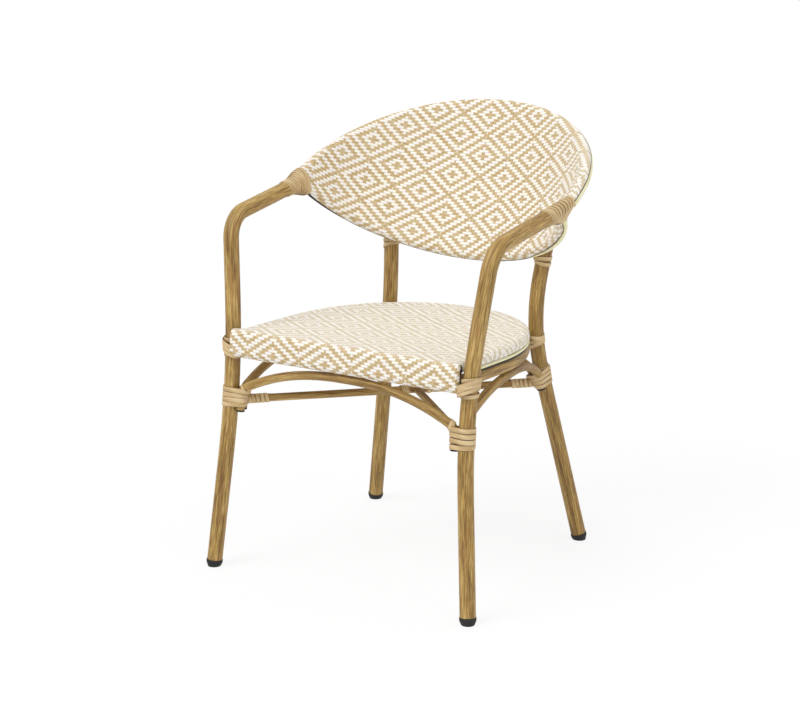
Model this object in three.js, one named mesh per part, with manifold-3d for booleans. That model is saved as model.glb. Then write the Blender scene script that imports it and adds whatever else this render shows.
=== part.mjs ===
// Bistro armchair of rattan-look tube with a woven sling seat and a woven barrel back.
// Lengths are millimetres. The chair faces -Y and stands on Z = 0, symmetric about X = 0.
import * as THREE from "three";
import { mergeVertices } from "three/addons/utils/BufferGeometryUtils.js";
import Module from "manifold-3d";

const wasm = await Module();
wasm.setup();

// Tubes and clearances
const tubeDiameter = 28;
const tubeBore = 24;
const fit = 0.3;
const tubeSides = 12;
const slimSides = 10;
const bendStep = 0.16;

// Seat frame: a base ring tied to the legs and a slimmer ring on top that holds the sling
const ringHalfWidth = 217.5;
const ringCentreY = -67;
const ringDepth = 271;
const ringRoundness = 2.1;
const ringStations = 26;
const seatSlope = 0.036;
const seatDatumY = -218;
const baseBarDiameter = 24;
const baseBarZ = 406.4;
const baseBarEndGap = 4.85;
const slingBarDiameter = 20;
const slingBarZ = 432.6;
const slingBarOverhang = 2;
const barPlugThickness = 2;

// Front leg and arm, one bent tube on each side, standing off the seat ring
const frontKneeOffset = 21.2;
const frontKneeX = ringHalfWidth + frontKneeOffset;
const frontKneeInset = 3.5;
const frontKneeY = seatDatumY + frontKneeInset;
const frontKneeZ = 361;
const frontKneeRadius = 1400;
const frontFootSplay = 30.8;
const frontFootX = frontKneeX + frontFootSplay;
const frontFootReach = 35.5;
const frontFootY = frontKneeY - frontFootReach;
const elbowSplay = 30.3;
const elbowX = frontKneeX + elbowSplay;
const elbowSetback = 37;
const elbowY = frontKneeY + elbowSetback;
const elbowZ = 636;
const elbowRadius = 52;
const armSplay = 5.2;
const armEndX = elbowX + armSplay;
const armLength = 215.5;
const armEndY = elbowY + armLength;
const armRise = 28.6;
const armEndZ = elbowZ + armRise;

// Rear leg, which follows the ring's corner and runs up behind the back
const rearKneeWidthShare = 0.70345;
const rearKneeX = rearKneeWidthShare * ringHalfWidth;
const rearKneeDepthShare = 0.87085;
const rearKneeY = ringCentreY + rearKneeDepthShare * ringDepth;
const rearKneeZ = 422.5;
const rearKneeRadius = 420;
const rearFootSplay = 78;
const rearFootX = rearKneeX + rearFootSplay;
const rearFootReach = 63;
const rearFootY = rearKneeY + rearFootReach;
const rearTopSplay = 16.5;
const rearTopX = rearKneeX + rearTopSplay;
const rearTopLean = 31;
const rearTopY = rearKneeY + rearTopLean;

// Foot cap
const footHeight = 8;
const footRimDiameter = 28.6;
const footSoleDiameter = 22;
const footChamfer = 3.5;
const footStemDiameter = 23;
const footStemLength = 16;

// Woven sling
const slingThickness = 1.4;
const seatSag = 7;
const apronOverhang = 1;
const seatHemAngle = -0.5;
const seatWrapSteps = 4;
const seatSpanSteps = 3;
const apronReturnAngle = 1.5;

// Piping along the sling's edge
const seatPipingDiameter = 6.4;
const backPipingDiameter = 8;
const pipingSides = 8;
const seatPipingAngle = -0.86;

// Arches under the seat
const archDiameter = 16;
const archEndZ = 296;
const archShoulderZ = 320;
const archShoulderWidth = 15;
const archShoulderRise = 20;
const archCurveShare = 2.35;
const archStations = 10;
const archShoulderSteps = 4;
const sideArchLeanShare = 0.18;
const sideArchBow = 10;
const rearArchBow = 14;
const frontArchTopZ = 384.4;
const archPlugThickness = 3;

// Diagonal stretchers
const stretcherDiameter = 14;
const stretcherZ = 311;
const stretcherFrontGap = 37;
const stretcherRearGap = 28.6;

// Back rim: two bent tubes, each lying in its own slanted plane
const rimDiameter = 18;
const rimStations = 20;
const upperRimOffset = 9.3;
const upperRimHalfWidth = armEndX + upperRimOffset;
const upperRimSetback = 30;
const upperRimNoseY = armEndY + upperRimSetback;
const upperRimLift = 14.4;
const upperRimNoseZ = armEndZ + upperRimLift;
const lowerRimOffset = 2.3;
const lowerRimHalfWidth = armEndX + lowerRimOffset;
const rimStandoff = 29.44;
const rimSettleRounds = 6;
const lowerRimRearZ = 533;
const lowerRimSweepAngle = 1.335;
const noseSetback = 5.2;
const noseOpening = 26;
const backLean = 120;
const backHeight = 263.5;
const upperRimRise = lowerRimRearZ + backHeight - upperRimNoseZ;
const lowerRimFrontZ = upperRimNoseZ - noseOpening;
const lowerRimRise = lowerRimFrontZ - lowerRimRearZ;
const postRimShare = 0.27;
const postReach = 21.6;
const rearTopZ = lowerRimRearZ + postRimShare * lowerRimRise + postReach;
const upperHemAngle = 0.95;
const lowerHemAngle = 1.25;
const rimWrapSteps = 5;
const backSpanSteps = 3;
const backHollow = 5;
const upperPipingAngle = 0.42;
const lowerPipingAngle = -0.58;

// Nose: a short bend that closes the gap between the two rim tubes behind the arm's end
const noseLead = 3;
const noseReach = 18;
const noseStations = 7;
const armPlugThickness = 3;

// Fixings
const spacerDiameter = 8;
const spacerSearch = 20;

// Bindings of flat rattan strip
const stripWidth = 7;
const stripThickness = 2.2;
const stripPitch = 7.8;
const stripClearance = 0.5;
const stripSteps = 12;
const stripSpread = 60;
const lowerBindingZ = 315;
const lowerBindingTurns = 4.2;
const frontSeatBindingZ = 403;
const frontSeatBindingTurns = 3.8;
const rearSeatBindingZ = 390;
const rearSeatBindingTurns = 2;
const postBindingDrop = 51;
const postBindingZ = rearTopZ - postBindingDrop;
const postBindingTurns = 1.2;
const armBindingTurns = 6;
const armBindingStart = -34;
const stretcherEndTurns = 3.9;
const stretcherMiddleTurns = 1.6;
const crossTieReach = 29;
const crossTieGap = 17;
const stretcherTieInset = 5;

const tubeRadius = tubeDiameter / 2;
const archRadius = archDiameter / 2;
const stretcherRadius = stretcherDiameter / 2;
const baseBarRadius = baseBarDiameter / 2;
const slingBarRadius = slingBarDiameter / 2;
const rimRadius = rimDiameter / 2;
const seatPipingRadius = seatPipingDiameter / 2;
const backPipingRadius = backPipingDiameter / 2;

const chair = new THREE.Group();
const v = (x, y, z) => new THREE.Vector3(x, y, z);
const up = v(0, 0, 1);

// Finishes
const finish = (color, roughness, metalness = 0) =>
  new THREE.MeshStandardMaterial({ color, roughness, metalness });
const looks = {
  cane: () => finish(0xa9894f, 0.5),
  strip: () => finish(0xcdb487, 0.6),
  weave: () => finish(0xe4d6be, 0.85),
  piping: () => finish(0xe6dfae, 0.55),
  black: () => finish(0x1b1712, 0.5),
};

// Weld a geometry's corners so that it reads as one closed body.
function weld(geometry) {
  geometry.deleteAttribute("uv");
  geometry.deleteAttribute("normal");
  const welded = mergeVertices(geometry, fit / 1000);
  welded.computeVertexNormals();
  return welded;
}

function addPiece(name, geometry, material) {
  const mesh = new THREE.Mesh(geometry, material);
  mesh.name = name;
  chair.add(mesh);
  return mesh;
}

// A path whose sections stand exactly at the given points.
class StationPath extends THREE.Curve {
  constructor(points) {
    super();
    this.points = points;
  }

  getPoint(t, target = new THREE.Vector3()) {
    const place = t * (this.points.length - 1);
    const index = Math.min(Math.floor(place), this.points.length - 2);
    return target.lerpVectors(this.points[index], this.points[index + 1], place - index);
  }

  getPointAt(t, target) {
    return this.getPoint(t, target);
  }

  getSpacedPoints(divisions) {
    return this.getPoints(divisions);
  }

  getTangentAt(t, target = new THREE.Vector3()) {
    return target.copy(heading(this.points, Math.round(t * (this.points.length - 1))));
  }
}

function direction(from, to) {
  return to.clone().sub(from).normalize();
}

// The way a run points at one of its stations.
function heading(run, index) {
  const sum = new THREE.Vector3();
  if (index > 0) sum.add(direction(run[index - 1], run[index]));
  if (index < run.length - 1) sum.add(direction(run[index], run[index + 1]));
  return sum.normalize();
}

function ring(radius, sides) {
  return Array.from({ length: sides }, (_, i) => {
    const angle = (2 * Math.PI * (i + 0.5)) / sides;
    return new THREE.Vector2(radius * Math.cos(angle), radius * Math.sin(angle));
  });
}

// A round tube or rod through the given points.
function tube(points, radius, sides, boreRadius = 0) {
  const shape = new THREE.Shape(ring(radius, sides));
  if (boreRadius > 0) shape.holes.push(new THREE.Path(ring(boreRadius, sides).reverse()));
  const settings = {
    steps: points.length - 1,
    bevelEnabled: false,
    extrudePath: new StationPath(points),
  };
  return weld(new THREE.ExtrudeGeometry(shape, settings));
}

// Straight stretches joined by round bends at the inner corners.
function bentRun(corners, radii) {
  const points = [corners[0]];
  for (let i = 1; i < corners.length - 1; i += 1) {
    const along = direction(corners[i - 1], corners[i]);
    const onward = direction(corners[i], corners[i + 1]);
    const turn = along.angleTo(onward);
    const reach = radii[i - 1] * Math.tan(turn / 2);
    const start = corners[i].clone().addScaledVector(along, -reach);
    const axis = along.clone().cross(onward).normalize();
    const inward = axis.clone().cross(along);
    const centre = start.clone().addScaledVector(inward, radii[i - 1]);
    const steps = Math.max(4, Math.ceil(turn / bendStep));
    for (let k = 0; k <= steps; k += 1) {
      const spoke = inward.clone().negate().applyAxisAngle(axis, (turn * k) / steps);
      points.push(centre.clone().addScaledVector(spoke, radii[i - 1]));
    }
  }
  points.push(corners[corners.length - 1]);
  return points;
}

// Where a rising run passes a height, and which way it points there.
function atHeight(run, height) {
  for (let i = 1; i < run.length; i += 1) {
    if (run[i].z >= height) {
      const share = (height - run[i - 1].z) / (run[i].z - run[i - 1].z);
      const place = run[i - 1].clone().lerp(run[i], share);
      return { place, along: direction(run[i - 1], run[i]) };
    }
  }
  throw new Error("the run does not reach that height");
}

// Legs
function frontRun(side) {
  const corners = [
    v(side * frontFootX, frontFootY, 0),
    v(side * frontKneeX, frontKneeY, frontKneeZ),
    v(side * elbowX, elbowY, elbowZ),
    v(side * armEndX, armEndY, armEndZ),
  ];
  return bentRun(corners, [frontKneeRadius, elbowRadius]);
}

function rearRun(side) {
  const corners = [
    v(side * rearFootX, rearFootY, 0),
    v(side * rearKneeX, rearKneeY, rearKneeZ),
    v(side * rearTopX, rearTopY, rearTopZ),
  ];
  return bentRun(corners, [rearKneeRadius]);
}

const sides = [
  { side: 1, word: "right" },
  { side: -1, word: "left" },
];
const legs = sides.flatMap(({ side, word }) => [
  { end: "front", side, word, run: frontRun(side) },
  { end: "rear", side, word, run: rearRun(side) },
]);
const legOf = (end, side) => legs.find((leg) => leg.end === end && leg.side === side);

function toSolid(geometry) {
  const mesh = {
    numProp: 3,
    vertProperties: Float32Array.from(geometry.attributes.position.array),
    triVerts: Uint32Array.from(geometry.index.array),
  };
  return new wasm.Manifold(new wasm.Mesh(mesh));
}

function fromSolid(solid) {
  const { vertProperties, triVerts, numProp } = solid.getMesh();
  const corners = new Float32Array((vertProperties.length / numProp) * 3);
  for (let i = 0; i < corners.length / 3; i += 1) {
    for (let k = 0; k < 3; k += 1) corners[3 * i + k] = vertProperties[numProp * i + k];
  }
  const geometry = new THREE.BufferGeometry();
  geometry.setAttribute("position", new THREE.BufferAttribute(corners, 3));
  geometry.setIndex(new THREE.BufferAttribute(Uint32Array.from(triVerts), 1));
  return weld(geometry);
}

// The cap stands square to the leg, and its sole is cut level with the floor.
function footCap(leg) {
  const profile = [
    [0, -footHeight],
    [footSoleDiameter / 2, -footHeight],
    [footRimDiameter / 2, footChamfer - footHeight],
    [footRimDiameter / 2, 0],
    [footStemDiameter / 2, 0],
    [footStemDiameter / 2, footStemLength],
    [0, footStemLength],
  ].map(([r, y]) => new THREE.Vector2(r, y));
  const geometry = weld(new THREE.LatheGeometry(profile, tubeSides));
  const turn = new THREE.Quaternion().setFromUnitVectors(v(0, 1, 0), leg.rise);
  geometry.applyQuaternion(turn);
  geometry.translate(leg.base.x, leg.base.y, leg.base.z - fit);
  const slab = new THREE.BoxGeometry(2 * footRimDiameter, 2 * footRimDiameter, footHeight);
  slab.translate(leg.base.x, leg.base.y, -footHeight / 2);
  return fromSolid(toSolid(geometry).subtract(toSolid(weld(slab))));
}

for (const leg of legs) {
  const rise = direction(leg.run[0], leg.run[1]);
  const base = leg.run[0].clone().addScaledVector(rise, footHeight);
  Object.assign(leg, { rise, base });
  const name = leg.end === "front" ? "front_leg_and_arm" : "rear_leg";
  const cut = [base, ...leg.run.slice(1)];
  addPiece(`${name}_${leg.word}`, tube(cut, tubeRadius, tubeSides, tubeBore / 2), looks.cane());
  addPiece(`foot_cap_${leg.end}_${leg.word}`, footCap(leg), looks.black());
}

// Short disc plug on a tube's end, from its inner face outward.
function discPlug(place, outward, radius, thickness, sidesOfDisc) {
  const geometry = weld(new THREE.CylinderGeometry(radius, radius, thickness, sidesOfDisc));
  const turn = new THREE.Quaternion().setFromUnitVectors(v(0, 1, 0), outward);
  geometry.applyQuaternion(turn);
  const centre = place.clone().addScaledVector(outward, fit + thickness / 2);
  geometry.translate(centre.x, centre.y, centre.z);
  return geometry;
}

for (const { side, word } of sides) {
  const { run } = legOf("rear", side);
  const top = run[run.length - 1];
  const outward = direction(run[run.length - 2], top);
  const plug = discPlug(top, outward, tubeRadius, barPlugThickness, tubeSides);
  addPiece(`rear_leg_plug_${word}`, plug, looks.black());
}

// Seat rings
const seatZ = (z, y) => z - seatSlope * (y - seatDatumY);

function ringPoint(angle, height) {
  const cos = Math.cos(angle);
  const x = ringHalfWidth * Math.sign(cos) * Math.abs(cos) ** (2 / ringRoundness);
  const y = ringCentreY + ringDepth * Math.abs(Math.sin(angle)) ** (2 / ringRoundness);
  return v(x, y, seatZ(height, y));
}

// Stations lie evenly along the ring and are mirrored, so both halves match.
function ringRun(height, frontY) {
  const fine = ringStations * 20;
  const trace = Array.from({ length: fine + 1 }, (_, i) => ringPoint((Math.PI * i) / fine, height));
  const run = [v(ringHalfWidth, frontY, seatZ(height, frontY))];
  const side = v(ringHalfWidth, (frontY + ringCentreY) / 2, 0);
  side.z = seatZ(height, side.y);
  run.push(side);
  const lengths = [0];
  for (let i = 1; i <= fine; i += 1) lengths.push(lengths[i - 1] + trace[i].distanceTo(trace[i - 1]));
  for (let k = 0; k <= ringStations; k += 1) {
    const want = (lengths[fine] * k) / ringStations;
    let i = lengths.findIndex((length) => length >= want - fit / 1000);
    if (i < 0) i = fine;
    run.push(trace[i].clone());
  }
  const mirror = (point) => v(-point.x, point.y, point.z);
  run.push(mirror(run[1]), mirror(run[0]));
  const half = Math.floor(run.length / 2);
  for (let i = 0; i < half; i += 1) run[run.length - 1 - i] = mirror(run[i]);
  if (run.length % 2) run[half].x = 0;
  return run;
}

const baseRun = ringRun(baseBarZ, seatDatumY + baseBarRadius + fit);
const slingRun = ringRun(slingBarZ, seatDatumY + slingBarRadius + fit);
addPiece("seat_base_hoop", tube(baseRun, baseBarRadius, slimSides), looks.cane());
addPiece("seat_sling_hoop", tube(slingRun, slingBarRadius, slimSides), looks.cane());

function crossBar(z, length) {
  return [v(-length / 2, seatDatumY, z), v(length / 2, seatDatumY, z)];
}

// The bars end just short of the strip wound round the front legs.
const woundRadius = tubeRadius + stripClearance + stripThickness;
const frontLegAtBar = atHeight(legOf("front", 1).run, baseBarZ).place;
const barOffset = frontLegAtBar.y - seatDatumY;
const baseBarHalf = frontLegAtBar.x - Math.sqrt(woundRadius ** 2 - barOffset ** 2) - baseBarEndGap;
const baseBarLength = 2 * baseBarHalf;
const slingBarLength = baseBarLength + 2 * slingBarOverhang;
const apronWidth = slingBarLength + 2 * apronOverhang;
const baseBar = crossBar(baseBarZ, baseBarLength);
addPiece("seat_base_front_bar", tube(baseBar, baseBarRadius, tubeSides), looks.cane());
const slingBar = crossBar(slingBarZ, slingBarLength - 2 * (barPlugThickness + fit));
addPiece("seat_sling_front_bar", tube(slingBar, slingBarRadius, tubeSides), looks.cane());
for (const { side, word } of sides) {
  const end = slingBar[side > 0 ? 1 : 0];
  const plug = discPlug(end, v(side, 0, 0), slingBarRadius, barPlugThickness, tubeSides);
  addPiece(`seat_bar_plug_${word}`, plug, looks.black());
}

// A thin sheet from strips of stations, each station a row of outer and inner points.
// Rows that share points are sewn together, and every free edge gets a wall.
function sheetSolid(strips) {
  const pairs = new Map();
  const corners = [];
  const nodeOf = ({ outer, inner }) => {
    const key = outer.toArray().map((value) => Math.round((value * 100) / fit)).join();
    if (!pairs.has(key)) {
      pairs.set(key, pairs.size);
      corners.push(...outer.toArray(), ...inner.toArray());
    }
    return pairs.get(key);
  };
  const index = [];
  const edges = new Map();
  const addCell = (cell) => {
    const loop = cell.filter((node, i) => node !== cell[(i + 1) % cell.length]);
    for (let i = 1; i < loop.length - 1; i += 1) {
      index.push(2 * loop[0], 2 * loop[i], 2 * loop[i + 1]);
      index.push(2 * loop[0] + 1, 2 * loop[i + 1] + 1, 2 * loop[i] + 1);
    }
    loop.forEach((from, i) => {
      const to = loop[(i + 1) % loop.length];
      if (!edges.delete(`${to},${from}`)) edges.set(`${from},${to}`, [from, to]);
    });
  };
  for (const rows of strips) {
    const nodes = rows.map((row) => row.map(nodeOf));
    for (let i = 1; i < nodes.length; i += 1) {
      for (let k = 1; k < nodes[i].length; k += 1) {
        addCell([nodes[i - 1][k - 1], nodes[i - 1][k], nodes[i][k], nodes[i][k - 1]]);
      }
    }
  }
  for (const [from, to] of edges.values()) {
    index.push(2 * to, 2 * from, 2 * from + 1, 2 * to, 2 * from + 1, 2 * to + 1);
  }
  const geometry = new THREE.BufferGeometry();
  geometry.setAttribute("position", new THREE.Float32BufferAttribute(corners, 3));
  geometry.setIndex(index);
  return weld(faceOutward(geometry));
}

// Turn every triangle over if the enclosed volume comes out negative.
function faceOutward(geometry) {
  const { position } = geometry.attributes;
  const index = geometry.index.array;
  const corner = (i) => new THREE.Vector3().fromBufferAttribute(position, index[i]);
  let volume = 0;
  for (let i = 0; i < index.length; i += 3) {
    volume += corner(i).dot(corner(i + 1).cross(corner(i + 2)));
  }
  if (volume < 0) geometry.setIndex(Array.from(index).reverse());
  return geometry;
}

// A flat-sided wrap stands clear of the tube inside it by the fit at the middle of each side.
const wrapRadius = (radius, angle, steps) => (radius + fit) / Math.cos(angle / steps / 2);

// Seat sling: wrapped round the ring's outer side, dished a little in the middle.
const slingInner = wrapRadius(slingBarRadius, Math.PI / 2 - seatHemAngle, seatWrapSteps);

const pairUp = (row) => {
  const inner = row(0);
  return row(slingThickness).map((outer, k) => ({ outer, inner: inner[k] }));
};

function seatStation(index) {
  const last = slingRun.length - 1;
  const centre = slingRun[index];
  const out = heading(slingRun, index).cross(up).normalize();
  const reach = 1 - Math.abs(1 - (2 * index) / last);
  const spineY = slingRun[0].y + (ringCentreY + ringDepth / 2 - slingRun[0].y) * reach;
  return pairUp((extra) => {
    const radius = slingInner + extra;
    const points = [];
    for (let k = 0; k <= seatWrapSteps; k += 1) {
      const angle = seatHemAngle + ((Math.PI / 2 - seatHemAngle) * k) / seatWrapSteps;
      points.push(centre.clone()
        .addScaledVector(out, radius * Math.cos(angle))
        .addScaledVector(up, radius * Math.sin(angle)));
    }
    const edge = points[points.length - 1];
    for (let k = 1; k <= seatSpanSteps; k += 1) {
      const share = k / seatSpanSteps;
      const point = edge.clone().lerp(v(0, spineY, 0), share);
      const dish = Math.sin((Math.PI / 2) * share) * Math.sin((Math.PI / 2) * Math.min(1, 2 * reach));
      point.z = seatZ(slingBarZ + radius, point.y) - seatSag * dish;
      points.push(point);
    }
    return points;
  });
}

// Apron: the sling runs on over the front bar, down and under the bar below it.
const apronInner = wrapRadius(baseBarRadius, apronReturnAngle, seatWrapSteps);

function apronRow(y, z) {
  const steps = 2 * seatSpanSteps;
  const half = apronWidth / 2;
  return Array.from({ length: steps + 1 }, (_, k) => v(half - (apronWidth * k) / steps, y, z));
}

function apronRows(join) {
  const rows = [join];
  for (let k = 0; k <= seatWrapSteps; k += 1) {
    const angle = (Math.PI / 2) * (1 + k / seatWrapSteps);
    rows.push(pairUp((extra) => apronRow(
      seatDatumY + (slingInner + extra) * Math.cos(angle),
      slingBarZ + (slingInner + extra) * Math.sin(angle),
    )));
  }
  for (let k = 0; k <= seatWrapSteps; k += 1) {
    const angle = Math.PI + (apronReturnAngle * k) / seatWrapSteps;
    rows.push(pairUp((extra) => apronRow(
      seatDatumY + (apronInner + extra) * Math.cos(angle),
      baseBarZ + (apronInner + extra) * Math.sin(angle),
    )));
  }
  return rows;
}

const seatRows = slingRun.map((_, index) => seatStation(index));
const rightFront = seatRows[0].slice(seatWrapSteps);
const leftFront = seatRows[seatRows.length - 1].slice(seatWrapSteps, -1).reverse();
const apron = apronRows([...rightFront, ...leftFront]).reverse();
addPiece("seat_sling", sheetSolid([seatRows, apron]), looks.weave());

// Seat piping, tucked under the sling's hem
const pipingReach = slingBarRadius + seatPipingRadius + fit;
const seatPiping = slingRun.slice(1, -1).map((centre, index) => {
  const out = heading(slingRun, index + 1).cross(up).normalize();
  return centre.clone()
    .addScaledVector(out, pipingReach * Math.cos(seatPipingAngle))
    .addScaledVector(up, pipingReach * Math.sin(seatPipingAngle));
});
addPiece("seat_piping", tube(seatPiping, seatPipingRadius, pipingSides), looks.piping());

// Arches: each stands between two legs, its ends lying along them
const archOffset = tubeRadius + archRadius + fit;

function archRun({ from, to, crest, bow }) {
  const foot = ({ run, lean }, z) => atHeight(run, z).place.addScaledVector(lean, archOffset);
  const start = foot(from, archShoulderZ);
  const end = foot(to, archShoulderZ);
  const half = start.distanceTo(end) / 2;
  const middle = start.clone().add(end).multiplyScalar(0.5);
  const across = direction(start, end);
  const outward = across.clone().cross(up).normalize();
  const shoulderHalf = half - archShoulderWidth;
  const shoulderZ = archShoulderZ + archShoulderRise;
  const place = (s, z) => {
    const swell = bow * Math.max(0, 1 - (s / shoulderHalf) ** 2);
    const point = middle.clone().addScaledVector(across, s).addScaledVector(outward, swell);
    return point.setZ(z);
  };
  const curve = (s) => crest - (crest - shoulderZ) * Math.abs(s / shoulderHalf) ** archCurveShare;
  const slope = (archCurveShare * (crest - shoulderZ)) / shoulderHalf;
  const kneeZ = shoulderZ - slope * archShoulderWidth;
  const rise = new THREE.QuadraticBezierCurve3(
    start, place(-half, kneeZ), place(-shoulderHalf, shoulderZ));
  const fall = new THREE.QuadraticBezierCurve3(
    place(shoulderHalf, shoulderZ), place(half, kneeZ), end);
  const crown = Array.from({ length: archStations - 1 }, (_, k) => {
    const s = shoulderHalf * (-1 + (2 * (k + 1)) / archStations);
    return place(s, curve(s));
  });
  return [
    foot(from, archEndZ),
    ...rise.getPoints(archShoulderSteps),
    ...crown,
    ...fall.getPoints(archShoulderSteps),
    foot(to, archEndZ),
  ];
}

// The way each arch end stands off from its leg, seen from above.
const archFoot = (end, side, leanX, leanY) => {
  const leg = legOf(end, side);
  return { run: leg.run, place: `${end}_${leg.word}`, lean: v(side * leanX, leanY, 0).normalize() };
};
const hoopUnder = (y) => seatZ(baseBarZ, y) - baseBarRadius - fit - archRadius;
const arches = [
  {
    name: "front_arch",
    from: archFoot("front", -1, -1, 0),
    to: archFoot("front", 1, -1, 0),
    crest: frontArchTopZ,
    bow: 0,
  },
  {
    name: "right_arch",
    from: archFoot("front", 1, -1, 1),
    to: archFoot("rear", 1, sideArchLeanShare, -1),
    crest: hoopUnder(0),
    bow: sideArchBow,
  },
  {
    name: "left_arch",
    from: archFoot("rear", -1, sideArchLeanShare, -1),
    to: archFoot("front", -1, -1, 1),
    crest: hoopUnder(0),
    bow: sideArchBow,
  },
  {
    name: "rear_arch",
    from: archFoot("rear", 1, -1, 0),
    to: archFoot("rear", -1, -1, 0),
    crest: hoopUnder(ringCentreY + ringDepth),
    bow: rearArchBow,
  },
];
for (const arch of arches) {
  arch.run = archRun(arch);
  arch.tied = {};
  addPiece(arch.name, tube(arch.run, archRadius, slimSides), looks.cane());
  const last = arch.run.length - 1;
  const ends = [
    { place: arch.from.place, tip: arch.run[0], next: arch.run[1] },
    { place: arch.to.place, tip: arch.run[last], next: arch.run[last - 1] },
  ];
  for (const { place, tip, next } of ends) {
    arch.tied[place] = [arch.name];
    if (arch.name === "rear_arch") continue;
    const plug = discPlug(tip, direction(next, tip), archRadius, archPlugThickness, slimSides);
    addPiece(`${arch.name}_plug_${place}`, plug, looks.black());
    arch.tied[place].push(`${arch.name}_plug_${place}`);
  }
}

// Stretchers: one runs through, the other is in two halves that meet it
const diagonal = (from, to) => {
  const start = atHeight(legOf("front", from).run, stretcherZ).place;
  const end = atHeight(legOf("rear", to).run, stretcherZ).place;
  const along = direction(start, end);
  start.addScaledVector(along, stretcherFrontGap);
  end.addScaledVector(along, -stretcherRearGap);
  return { start, end, along };
};
const through = diagonal(-1, 1);
const crossing = diagonal(1, -1);
const share = through.start.x / (through.start.x - through.end.x);
const centre = through.start.clone().lerp(through.end, share);
const sine = Math.abs(through.along.clone().cross(crossing.along).z);
const notch = (stretcherRadius + stretcherRadius * Math.abs(through.along.dot(crossing.along))) / sine;
const nearHalf = [crossing.start, centre.clone().addScaledVector(crossing.along, -notch - fit)];
const farHalf = [centre.clone().addScaledVector(crossing.along, notch + fit), crossing.end];
const rod = (ends) => tube(ends, stretcherRadius, slimSides);
addPiece("stretcher_through", rod([through.start, through.end]), looks.cane());
addPiece("stretcher_near_half", rod(nearHalf), looks.cane());
addPiece("stretcher_far_half", rod(farHalf), looks.cane());

// Back rim tubes: the lower one passes each rear leg at a standoff and meets the noses in front
const lowerRimFrontY = upperRimNoseY - noseSetback;
const sweepDepth = 1 - Math.cos(lowerRimSweepAngle);
const postShare = (x) => (1 - Math.sqrt(1 - (x / lowerRimHalfWidth) ** 2)) / sweepDepth;
const postLevel = Math.min(rearTopZ, lowerRimRearZ + lowerRimRise * postShare(rearTopX));
const rimPost = atHeight(legOf("rear", 1).run, postLevel).place;
const rimPostShare = postShare(rimPost.x);
const rimPostTurn = Math.asin(rimPost.x / lowerRimHalfWidth);
let lowerRimRearY = rimPost.y;
for (let round = 0; round < rimSettleRounds; round += 1) {
  const reach = (lowerRimRearY - lowerRimFrontY) / sweepDepth;
  const steepness = (reach * Math.tan(rimPostTurn)) / lowerRimHalfWidth;
  const setback = rimStandoff * Math.hypot(1, steepness);
  lowerRimRearY = (rimPost.y - setback - rimPostShare * lowerRimFrontY) / (1 - rimPostShare);
}
const lowerRimRun = lowerRimRearY - lowerRimFrontY;
const lowerRimSlope = Math.atan2(lowerRimRise, lowerRimRun);
const lowerRimDepth = Math.hypot(lowerRimRun, lowerRimRise) / sweepDepth;
const upperRimDepth = lowerRimRearY + backLean - upperRimNoseY;

function upperRimPoint(angle) {
  return v(
    upperRimHalfWidth * Math.sin(angle),
    upperRimNoseY + upperRimDepth * Math.cos(angle),
    upperRimNoseZ + upperRimRise * Math.cos(angle),
  );
}

function lowerRimPoint(angle) {
  const drop = lowerRimDepth * (1 - Math.cos(angle));
  return v(
    lowerRimHalfWidth * Math.sin(angle),
    lowerRimRearY - drop * Math.cos(lowerRimSlope),
    lowerRimRearZ + drop * Math.sin(lowerRimSlope),
  );
}

function rimRun(point, sweep) {
  return Array.from({ length: rimStations + 1 }, (_, i) =>
    point(sweep * (-1 + (2 * i) / rimStations)));
}

const upperRim = rimRun(upperRimPoint, Math.PI / 2);
const lowerRim = rimRun(lowerRimPoint, lowerRimSweepAngle);
addPiece("back_upper_rim", tube(upperRim, rimRadius, slimSides), looks.cane());
addPiece("back_lower_rim", tube(lowerRim, rimRadius, slimSides), looks.cane());

// Back sling: one sheet round both rims, on the sitter's side of the tubes
const rimInner = wrapRadius(rimRadius, Math.PI - upperHemAngle, rimWrapSteps);

function rimFrame(run, index, rise) {
  const along = heading(run, index);
  const upright = rise.clone().addScaledVector(along, -rise.dot(along)).normalize();
  const out = along.clone().cross(upright).normalize();
  if (out.dot(v(run[index].x, run[index].y, 0)) < 0) out.negate();
  const at = (radius, angle) => run[index].clone()
    .addScaledVector(out, radius * Math.cos(angle))
    .addScaledVector(upright, radius * Math.sin(angle));
  return { out, at };
}

function backStation(index) {
  const rise = direction(lowerRim[index], upperRim[index]);
  const low = rimFrame(lowerRim, index, rise);
  const high = rimFrame(upperRim, index, rise);
  const edge = Math.sin((Math.PI * index) / rimStations);
  return pairUp((extra) => {
    const radius = rimInner + extra;
    const points = [];
    for (let k = 0; k <= rimWrapSteps; k += 1) {
      const angle = -lowerHemAngle - ((Math.PI - lowerHemAngle) * k) / rimWrapSteps;
      points.push(low.at(radius, angle));
    }
    const start = points[points.length - 1];
    const end = high.at(radius, Math.PI);
    for (let k = 1; k < backSpanSteps; k += 1) {
      const hollow = backHollow * edge * Math.sin((Math.PI * k) / backSpanSteps);
      points.push(start.clone().lerp(end, k / backSpanSteps).addScaledVector(low.out, hollow));
    }
    for (let k = 0; k <= rimWrapSteps; k += 1) {
      const angle = Math.PI - ((Math.PI - upperHemAngle) * k) / rimWrapSteps;
      points.push(high.at(radius, angle));
    }
    return points;
  });
}

const backStations = Array.from({ length: rimStations + 1 }, (_, index) => backStation(index));
addPiece("back_sling", sheetSolid([backStations]), looks.weave());

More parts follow.
